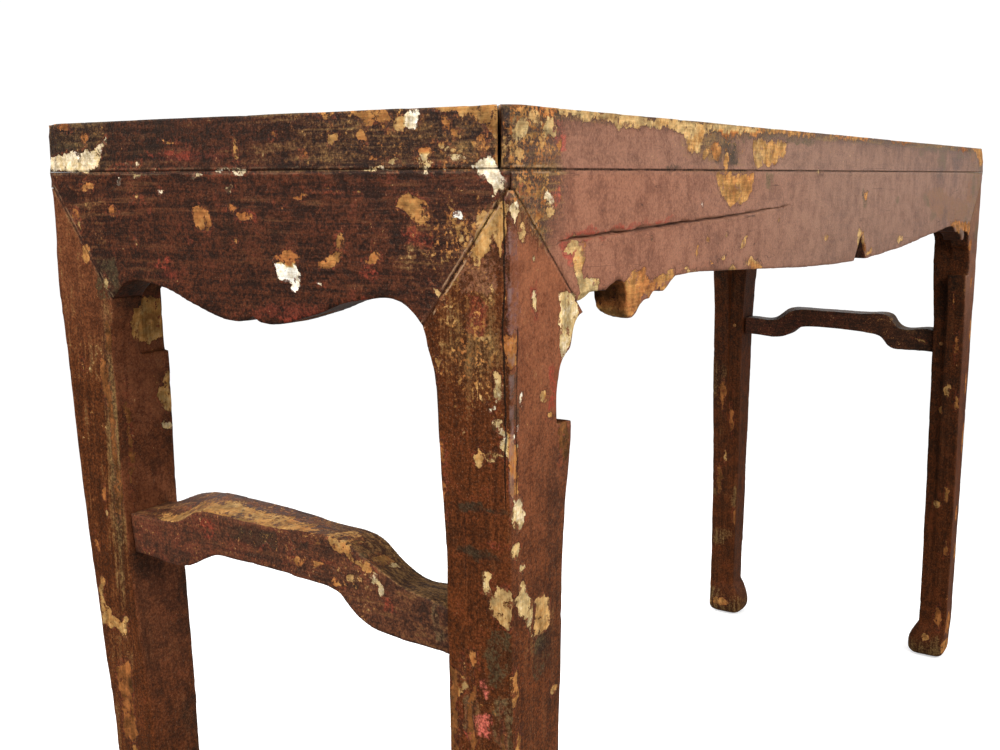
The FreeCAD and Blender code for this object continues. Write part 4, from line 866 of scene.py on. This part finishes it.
def worn_lacquer(name, along, deep=(0.020, 0.0075, 0.0042), warm=(0.090, 0.0250, 0.0100), wear=0.0,
                 dullness=0.0, light_rub=(0.225, 0.130, 0.047), film_tint=(1.0, 1.0, 1.0), mellow=0.0,
                 mean_brown=(0.085, 0.038, 0.021), sheen=0.11):
    """Old brown-red lacquer over a timber whose grain runs along an axis. A deep and a warm layer, red and brown
    streaks are mixed by fine noise, a faded pink layer lies on the lit faces, partly real and partly painted
    light, with a painted sheen, olive rubbed wood shows through where it is thin, dark marks and painted shade
    darken it, and bare wood shows in the spots, on the arrises and in small chips, with a painted highlight
    beside the long crack."""
    material, tree, place, run, bands, pores = new_finish(name, along)
    field = tree.field
    broad = tree.noise(place, 11.0, 3.0, 0.6)
    mottle = tree.noise(place, 60.0, 5.0, 0.68, 0.3)
    speckle = tree.noise(place, 330.0, 5.0, 0.72)
    streak = tree.noise(run, 240.0, 4.0, 0.65, 0.5)
    drips = tree.noise(tree.node("ShaderNodeMapping", {"Vector": place, "Scale": (1.0, 1.0, 0.07)}), 150.0, 3.0, 0.6)

    # Lacquer with its red and brown streaks
    blend = speckle * 0.40 + streak * 0.30 + mottle * 0.30
    lacquer = tree.mix(blend.ramp(0.43, 0.57), deep, warm)
    redness = field("red") * 0.30 + mottle * 0.6 + speckle * 0.4
    lacquer = tree.mix(redness.ramp(0.60, 0.78, 0.0, 0.75), lacquer, (0.138, 0.027, 0.015))
    lacquer = tree.mix((streak * 0.6 + broad * 0.4).ramp(0.52, 0.66, 0.0, 0.6), lacquer, (0.125, 0.055, 0.023))
    lacquer = tree.mix(mellow, lacquer, mean_brown)

    # Faded pink lacquer, partly real and partly painted light for the lit faces, pink near the corner and greyer far
    # from it as painted sheen
    film_and_painted_light = field("film_and_painted_light") * (blend * 0.5 + broad * 0.5).ramp(0.36, 0.54, 0.78, 1.0)
    film_and_light_deep = tree.mix(field("painted_sheen"), (0.160, 0.056, 0.030), (0.155, 0.074, 0.046))
    film_and_light_pale = tree.mix(field("painted_sheen"), (0.298, 0.124, 0.070), (0.265, 0.142, 0.094))
    film_grain = mottle * 0.45 + speckle * 0.42 + drips * 0.13
    film_and_light_colour = tree.mix(1.0, tree.mix(film_grain.ramp(0.36, 0.58), film_and_light_deep, film_and_light_pale), film_tint, "MULTIPLY")
    lacquer = tree.mix(film_and_painted_light, lacquer, film_and_light_colour)

    # Rubbed places, dark marks with painted shade, stains, the red halo around bare spots and fine dark scratches
    rubbed = field("olive") * 0.32 + streak * 0.35 + speckle * 0.30 + mottle * 0.35
    rubbed = rubbed.ramp(0.62, 0.80, 0.0, 0.9)
    rubbed_wood = tree.mix((streak + speckle).ramp(0.86, 1.14), (0.053, 0.029, 0.013), light_rub)
    lacquer = tree.mix(rubbed, lacquer, rubbed_wood)
    # Dark marks, and painted shade on inner faces, undersides and the right stretcher
    dark_marks_and_shade = field("dark") * (speckle + mottle).ramp(0.8, 1.15, 1.0, 0.45)
    lacquer = tree.mix(dark_marks_and_shade, lacquer, (0.018, 0.0105, 0.0070))
    stain, = tree.group(ragged_edge, {"Field": field("stain"), "Vector": place, "Ragged": 6.0, "Softness": 1.2},
                        ["Mask"])
    stain_colour = tree.colours((speckle - 0.5) * 0.35 + field("stain_tone"), (0.014, 0.010, 0.008),
                                (0.70, 0.170, 0.120), [
        (0.2, (0.044, 0.032, 0.016)), (0.34, (0.130, 0.092, 0.042)), (0.43, (0.235, 0.098, 0.046)),
        (0.53, (0.140, 0.066, 0.060)), (0.72, (0.190, 0.032, 0.015)), (0.85, (0.40, 0.066, 0.042))])
    lacquer = tree.mix(stain * (mottle + speckle).ramp(0.88, 1.10, 0.05, 0.85), lacquer, stain_colour)
    halo = ((mottle - 0.5) * 9.0 + field("bare")).ramp(-2.6, -0.4)
    halo = halo * (streak * 0.4 + speckle).ramp(0.66, 0.80) * (field("film_and_painted_light") * -0.45 + 0.7)
    lacquer = tree.mix(halo, lacquer, (0.180, 0.037, 0.017))
    scratch = tree.math("ABSOLUTE", tree.noise(run, 75.0, 2.0, 0.5, 1.0) - 0.5).ramp(0.004, 0.001)
    lacquer = tree.mix(scratch * broad.ramp(0.46, 0.54) * 0.6, lacquer, (0.022, 0.010, 0.007))

    # Bare wood in the spots, in small chips and on the arrises
    chips = field("chipped") * 0.30 + speckle * 0.72 + mottle * 0.28
    chips = chips.ramp(0.775 - wear, 0.795 - wear)
    edge = (tree.noise(place, 32.0, 4.0, 0.62) - 0.5) * 2.8 + field("arris") + (speckle - 0.5) * 1.9
    edge = tree.math("MINIMUM", edge, field("arris") * 4.0).ramp(1.02 - wear * 6.0, 1.12 - wear * 6.0)
    spot, rim = tree.group(ragged_edge, {"Field": field("bare"), "Vector": place, "Ragged": 5.0, "Softness": 0.2},
                           ["Mask", "Rim"])
    kept = (field("bare") * -0.030 + tree.noise(place, 150.0, 5.0, 0.72)).ramp(0.510, 0.54, 0.0, 0.92)
    bare = tree.math("MAXIMUM", spot * (1.0 - kept), tree.math("MAXIMUM", chips, edge))
    tone = field("bare_tone") * spot + (mottle * 0.9 - 0.02) * (1.0 - spot)
    wood = bare_wood_colour(tree, tone, bands, pores, mottle * 0.5 + speckle * 0.5,
                            tree.noise(place, 95.0, 4.0, 0.65))
    lacquer = tree.mix(rim * 0.65, lacquer, (0.050, 0.018, 0.011))
    fine = tree.noise(place, 620.0, 3.0, 0.7).ramp(0.36, 0.62, 0.60, 1.38)
    lacquer = tree.shaded(lacquer, (fine - 1.0) * (film_and_painted_light * -0.65 + 1.0) + 1.0)
    colour = tree.mix(bare, lacquer, wood)

    # Joints, with dark gaps and light worn lips, the long crack beside the near arris with a painted highlight on the
    # rubbed strip beside it, and grit
    wavering = (speckle - 0.5) * 2.6 + field("seam")
    gap = wavering.ramp(0.9, 0.3) * mottle.ramp(0.40, 0.58, 0.15, 1.0) * field("seam_dark")
    lip = tree.math("ABSOLUTE", wavering - 1.9).ramp(0.7, 0.3) * mottle.ramp(0.46, 0.54) * field("seam_light")
    colour = tree.mix(lip, colour, (0.42, 0.255, 0.140))
    crack_width = field("split_width")
    crack = tree.math("ABSOLUTE", (mottle - 0.5) * 3.0 + field("split")) - crack_width * 0.65
    # Painted highlight on the rubbed strip beside the crack
    polished_and_highlight = field("split").ramp(-2.2, -3.6) * crack_width * mottle.ramp(0.42, 0.55)
    colour = tree.mix(polished_and_highlight * 0.6, colour, (0.250, 0.155, 0.140))
    opened = tree.math("MAXIMUM", gap, crack.ramp(0.15, -0.15) * crack_width.ramp(0.0, 0.2))
    colour = tree.mix(opened * 0.88, colour, tree.mix(film_and_painted_light, (0.010, 0.006, 0.004), (0.034, 0.011, 0.008)))
    grit = tree.noise(place, 1100.0, 2.0, 0.6).ramp(0.60, 0.76) * (field("chipped") * 0.5 + 0.05)
    colour = tree.mix(grit, colour, (0.44, 0.30, 0.19))

    gloss = speckle * 0.30 + (0.30 + dullness) + tree.math("MAXIMUM", rubbed, film_and_painted_light) * 0.16
    rough = gloss * (1.0 - bare) + bare * 0.82
    height = bare * -0.60 + opened * -1.2 + bands * (bare * 0.25 + 0.10) + pores * (bare * 0.16 + 0.06)
    height = height + (speckle * 0.9 + mottle) * (field("film_and_painted_light") * -0.55 + 1.0)
    close_finish(tree, colour, rough, sheen, height, 0.8, 0.0008)
    return material


def plain_timber(name, along, tone, dirt):
    """Old wood that never had lacquer: its grain along an axis, darkened in patches by dirt."""
    material, tree, place, _, bands, pores = new_finish(name, along)
    mottle = tree.noise(place, 30.0, 5.0, 0.65)
    speckle = tree.noise(place, 240.0, 4.0, 0.65)
    wood = bare_wood_colour(tree, tone, bands, pores, speckle, mottle)
    colour = tree.mix(mottle.ramp(0.35, 0.65) * dirt, wood, (0.030, 0.018, 0.011))
    height = pores * 0.3 + bands * 0.5 + speckle * 0.4
    close_finish(tree, colour, mottle * 0.2 + 0.68, 0.3, height, 0.7, 0.0006)
    return material


lacquer_long = worn_lacquer("lacquer_long", 0)
lacquer_short = worn_lacquer("lacquer_short", 1)
lacquer_upright = worn_lacquer(
    "lacquer_upright", 2, (0.028, 0.0092, 0.0034), (0.134, 0.0350, 0.0090), film_tint=(0.96, 0.81, 0.66),
    mellow=0.30, mean_brown=(0.104, 0.0290, 0.0085), sheen=0.05)
lacquer_stretcher = worn_lacquer(
    "lacquer_stretcher", 1, (0.026, 0.0110, 0.0070), (0.150, 0.0460, 0.0190), wear=0.002, dullness=0.12,
    light_rub=(0.225, 0.118, 0.042), mellow=0.25, mean_brown=(0.100, 0.040, 0.021))
lacquer_panel = worn_lacquer("lacquer_panel", 0, wear=-0.01, dullness=0.05)
batten_wood = plain_timber("batten_wood", 1, 0.3, 0.7)
peg_wood = plain_timber("peg_wood", 2, 0.5, 0.5)

# Timbers: node, size of the skin's quads in millimetres, finish, rounds of rounding and depth of the hollows
timbers = [
    ("top_rail_left", 2.2, lacquer_short, 3, 0.8), ("top_rail_front", 2.6, lacquer_long, 3, 0.8),
    ("top_rail_back", 3.4, lacquer_long, 3, 0.8), ("top_rail_right", 3.2, lacquer_short, 3, 0.8),
    ("panel_board_front", 4.5, lacquer_panel, 1, 0.6), ("panel_board_back", 4.5, lacquer_panel, 1, 0.6),
    ("apron_left", 2.2, lacquer_short, 2, 0.5), ("apron_front", 2.6, lacquer_long, 2, 0.6),
    ("apron_back", 3.2, lacquer_long, 2, 0.6), ("apron_right", 3.0, lacquer_short, 2, 0.6),
    ("leg_front_left", 2.0, lacquer_upright, 3, 0.7), ("leg_back_left", 2.4, lacquer_upright, 3, 0.7),
    ("leg_front_right", 2.6, lacquer_upright, 3, 0.7), ("leg_back_right", 2.6, lacquer_upright, 3, 0.7),
    ("stretcher_left", 1.8, lacquer_stretcher, 5, 1.0), ("stretcher_right", 2.4, lacquer_stretcher, 4, 0.8),
    ("batten_left", 4.5, batten_wood, 1, 0.5), ("batten_middle", 4.5, batten_wood, 1, 0.5),
    ("batten_right", 4.5, batten_wood, 1, 0.5),
]

# Cracks: the face, spots along the path as along and height, width, depth and seed
cracks = {
    "apron_front": ("front", [(56, 769), (110, 770.3), (169, 772), (275, 774.6), (406, 778), (486, 782)],
                    4.2, 10.0, 21),
    "apron_left": ("left", [(108, 783), (160, 783.5), (218, 779)], 0.7, 3.0, 24),
}

for seed, (name, grain_size, finish, rounds, hollow) in enumerate(timbers):
    piece = even_skin(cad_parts[name], grain_size)
    wear_down(piece, name, seed * 13 + 1, rounds, hollow)
    if name in cracks:
        face, spots, width, depth, number = cracks[name]
        cut_cracks(piece, [crack_blade(f"{name}_crack", spots, width, depth, face, number)])
    paint_fields(piece, name)
    piece.data.polygons.foreach_set("use_smooth", np.ones(len(piece.data.polygons), bool))
    piece.data.materials.clear()
    piece.data.materials.append(finish)
    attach(piece, "root")
    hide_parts(name)

for name in ("apron_keys", "corner_pins", "stretcher_pins"):
    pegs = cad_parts[name]
    pegs.data.materials.clear()
    pegs.data.materials.append(peg_wood)


# Room: pale floor, white surround, soft light from the front and above

def pale_floor():
    """Pale floor that fades out to the white surround with the distance from the table. Only the camera sees it
    bright: it throws less light up at the table."""
    mesh = bpy.data.meshes.new("floor")
    reach = 9.0
    corners = [(-reach, -reach, 0), (reach, -reach, 0), (reach, reach, 0), (-reach, reach, 0)]
    mesh.from_pydata(corners, [], [(0, 1, 2, 3)])
    floor = new_object("floor", mesh)
    material = bpy.data.materials.new("pale_floor")
    material.use_nodes = True
    tree = Tree(material.node_tree)
    tree.nodes.clear()
    place = tree.node("ShaderNodeTexCoord", output="Object")
    far = tree.node("ShaderNodeVectorMath", (place,), output="Value", operation="LENGTH")
    seen = tree.node("ShaderNodeLightPath", output="Is Camera Ray")
    colour = tree.mix(seen, (0.30, 0.28, 0.26), (0.92, 0.92, 0.92))
    glow = tree.mix(seen, (0.0, 0.0, 0.0), (1.0, 1.0, 1.0))
    shader = tree.node("ShaderNodeBsdfPrincipled", {
        "Base Color": colour, "Roughness": 0.95, "Specular IOR Level": 0.0, "Emission Color": glow,
        "Emission Strength": 0.45, "Alpha": far.ramp(0.8, 2.4, 1.0, 0.0)})
    tree.node("ShaderNodeOutputMaterial", {"Surface": shader})
    mesh.materials.append(material)


def standing_at(place, right, up, back):
    """Matrix of a thing at a place with the given three directions."""
    return Matrix([[right[i], up[i], back[i], place[i]] for i in range(3)] + [[0, 0, 0, 1]])


def soft_light(name, place, target, width, height, power):
    """Rectangular lamp at a place, turned towards a target."""
    light = bpy.data.lights.new(name, "AREA")
    light.shape = "RECTANGLE"
    light.size = width
    light.size_y = height
    light.energy = power
    lamp = new_object(name, light)
    aim = np.array(target, float) - np.array(place, float)
    aim /= np.linalg.norm(aim)
    side = np.cross(aim, (0, 0, 1))
    side /= np.linalg.norm(side)
    lamp.matrix_world = standing_at(place, side, np.cross(side, aim), -aim)


def white_surround(seen, light):
    """The surround is pure white where the camera sees it and a softer grey where it lights the table."""
    world = bpy.data.worlds.new("surround")
    world.use_nodes = True
    bpy.context.scene.world = world
    tree = Tree(world.node_tree)
    tree.nodes.clear()
    path = tree.node("ShaderNodeLightPath", output="Is Camera Ray")
    strength = path.ramp(0.0, 1.0, light, seen, "LINEAR")
    glow = tree.node("ShaderNodeBackground", {"Color": (1.0, 1.0, 1.0, 1.0), "Strength": strength})
    tree.node("ShaderNodeOutputWorld", {"Surface": glow})


def photo_camera():
    """Camera at the place and angle that fit the picture's straight edges, for an image of 1000 by 750."""
    yaw, pitch, roll = np.radians([56.909, -9.988, -0.183])
    ahead = np.array([np.sin(yaw) * np.cos(pitch), np.cos(yaw) * np.cos(pitch), np.sin(pitch)])
    right = np.array([np.cos(yaw), -np.sin(yaw), 0.0])
    up = np.cross(right, ahead)
    data = bpy.data.cameras.new("photo_camera")
    data.sensor_width = 36.0
    data.lens = 40.61
    data.clip_end = 60.0
    camera = new_object("photo_camera", data)
    camera.matrix_world = standing_at((-1.258459, -0.565528, 0.808809), right * np.cos(roll) + up * np.sin(roll),
                                      up * np.cos(roll) - right * np.sin(roll), -ahead)
    bpy.context.scene.camera = camera


pale_floor()
white_surround(1.05, 0.18)
for lamp in (
        ("front_light", (-0.5, -2.2, 2.0), (0.0, -0.2, 0.78), 3.2, 1.1, 72.0),
        ("sheen_light", (2.9, -1.7, 1.2), (0.0, -0.2, 0.75), 1.8, 1.0, 16.0),
        ("left_light", (-2.5, 0.5, 2.0), (-0.7, 0.0, 0.75), 1.3, 0.9, 61.0),
        ("right_light", (2.7, 0.5, 1.5), (0.7, 0.0, 0.6), 1.2, 0.9, 14.0),
        ("back_light", (0.5, 2.5, 1.9), (0.0, 0.2, 0.75), 3.0, 1.1, 46.0),
        ("top_light", (0.0, 0.4, 3.0), (0.0, 0.0, 0.8), 2.4, 2.4, 20.0),
        ("low_light", (-0.2, -2.4, 0.45), (-0.6, 0.2, 0.6), 1.2, 0.6, 13.0)):
    soft_light(*lamp)
photo_camera()
bpy.context.scene.view_settings.view_transform = "Standard"
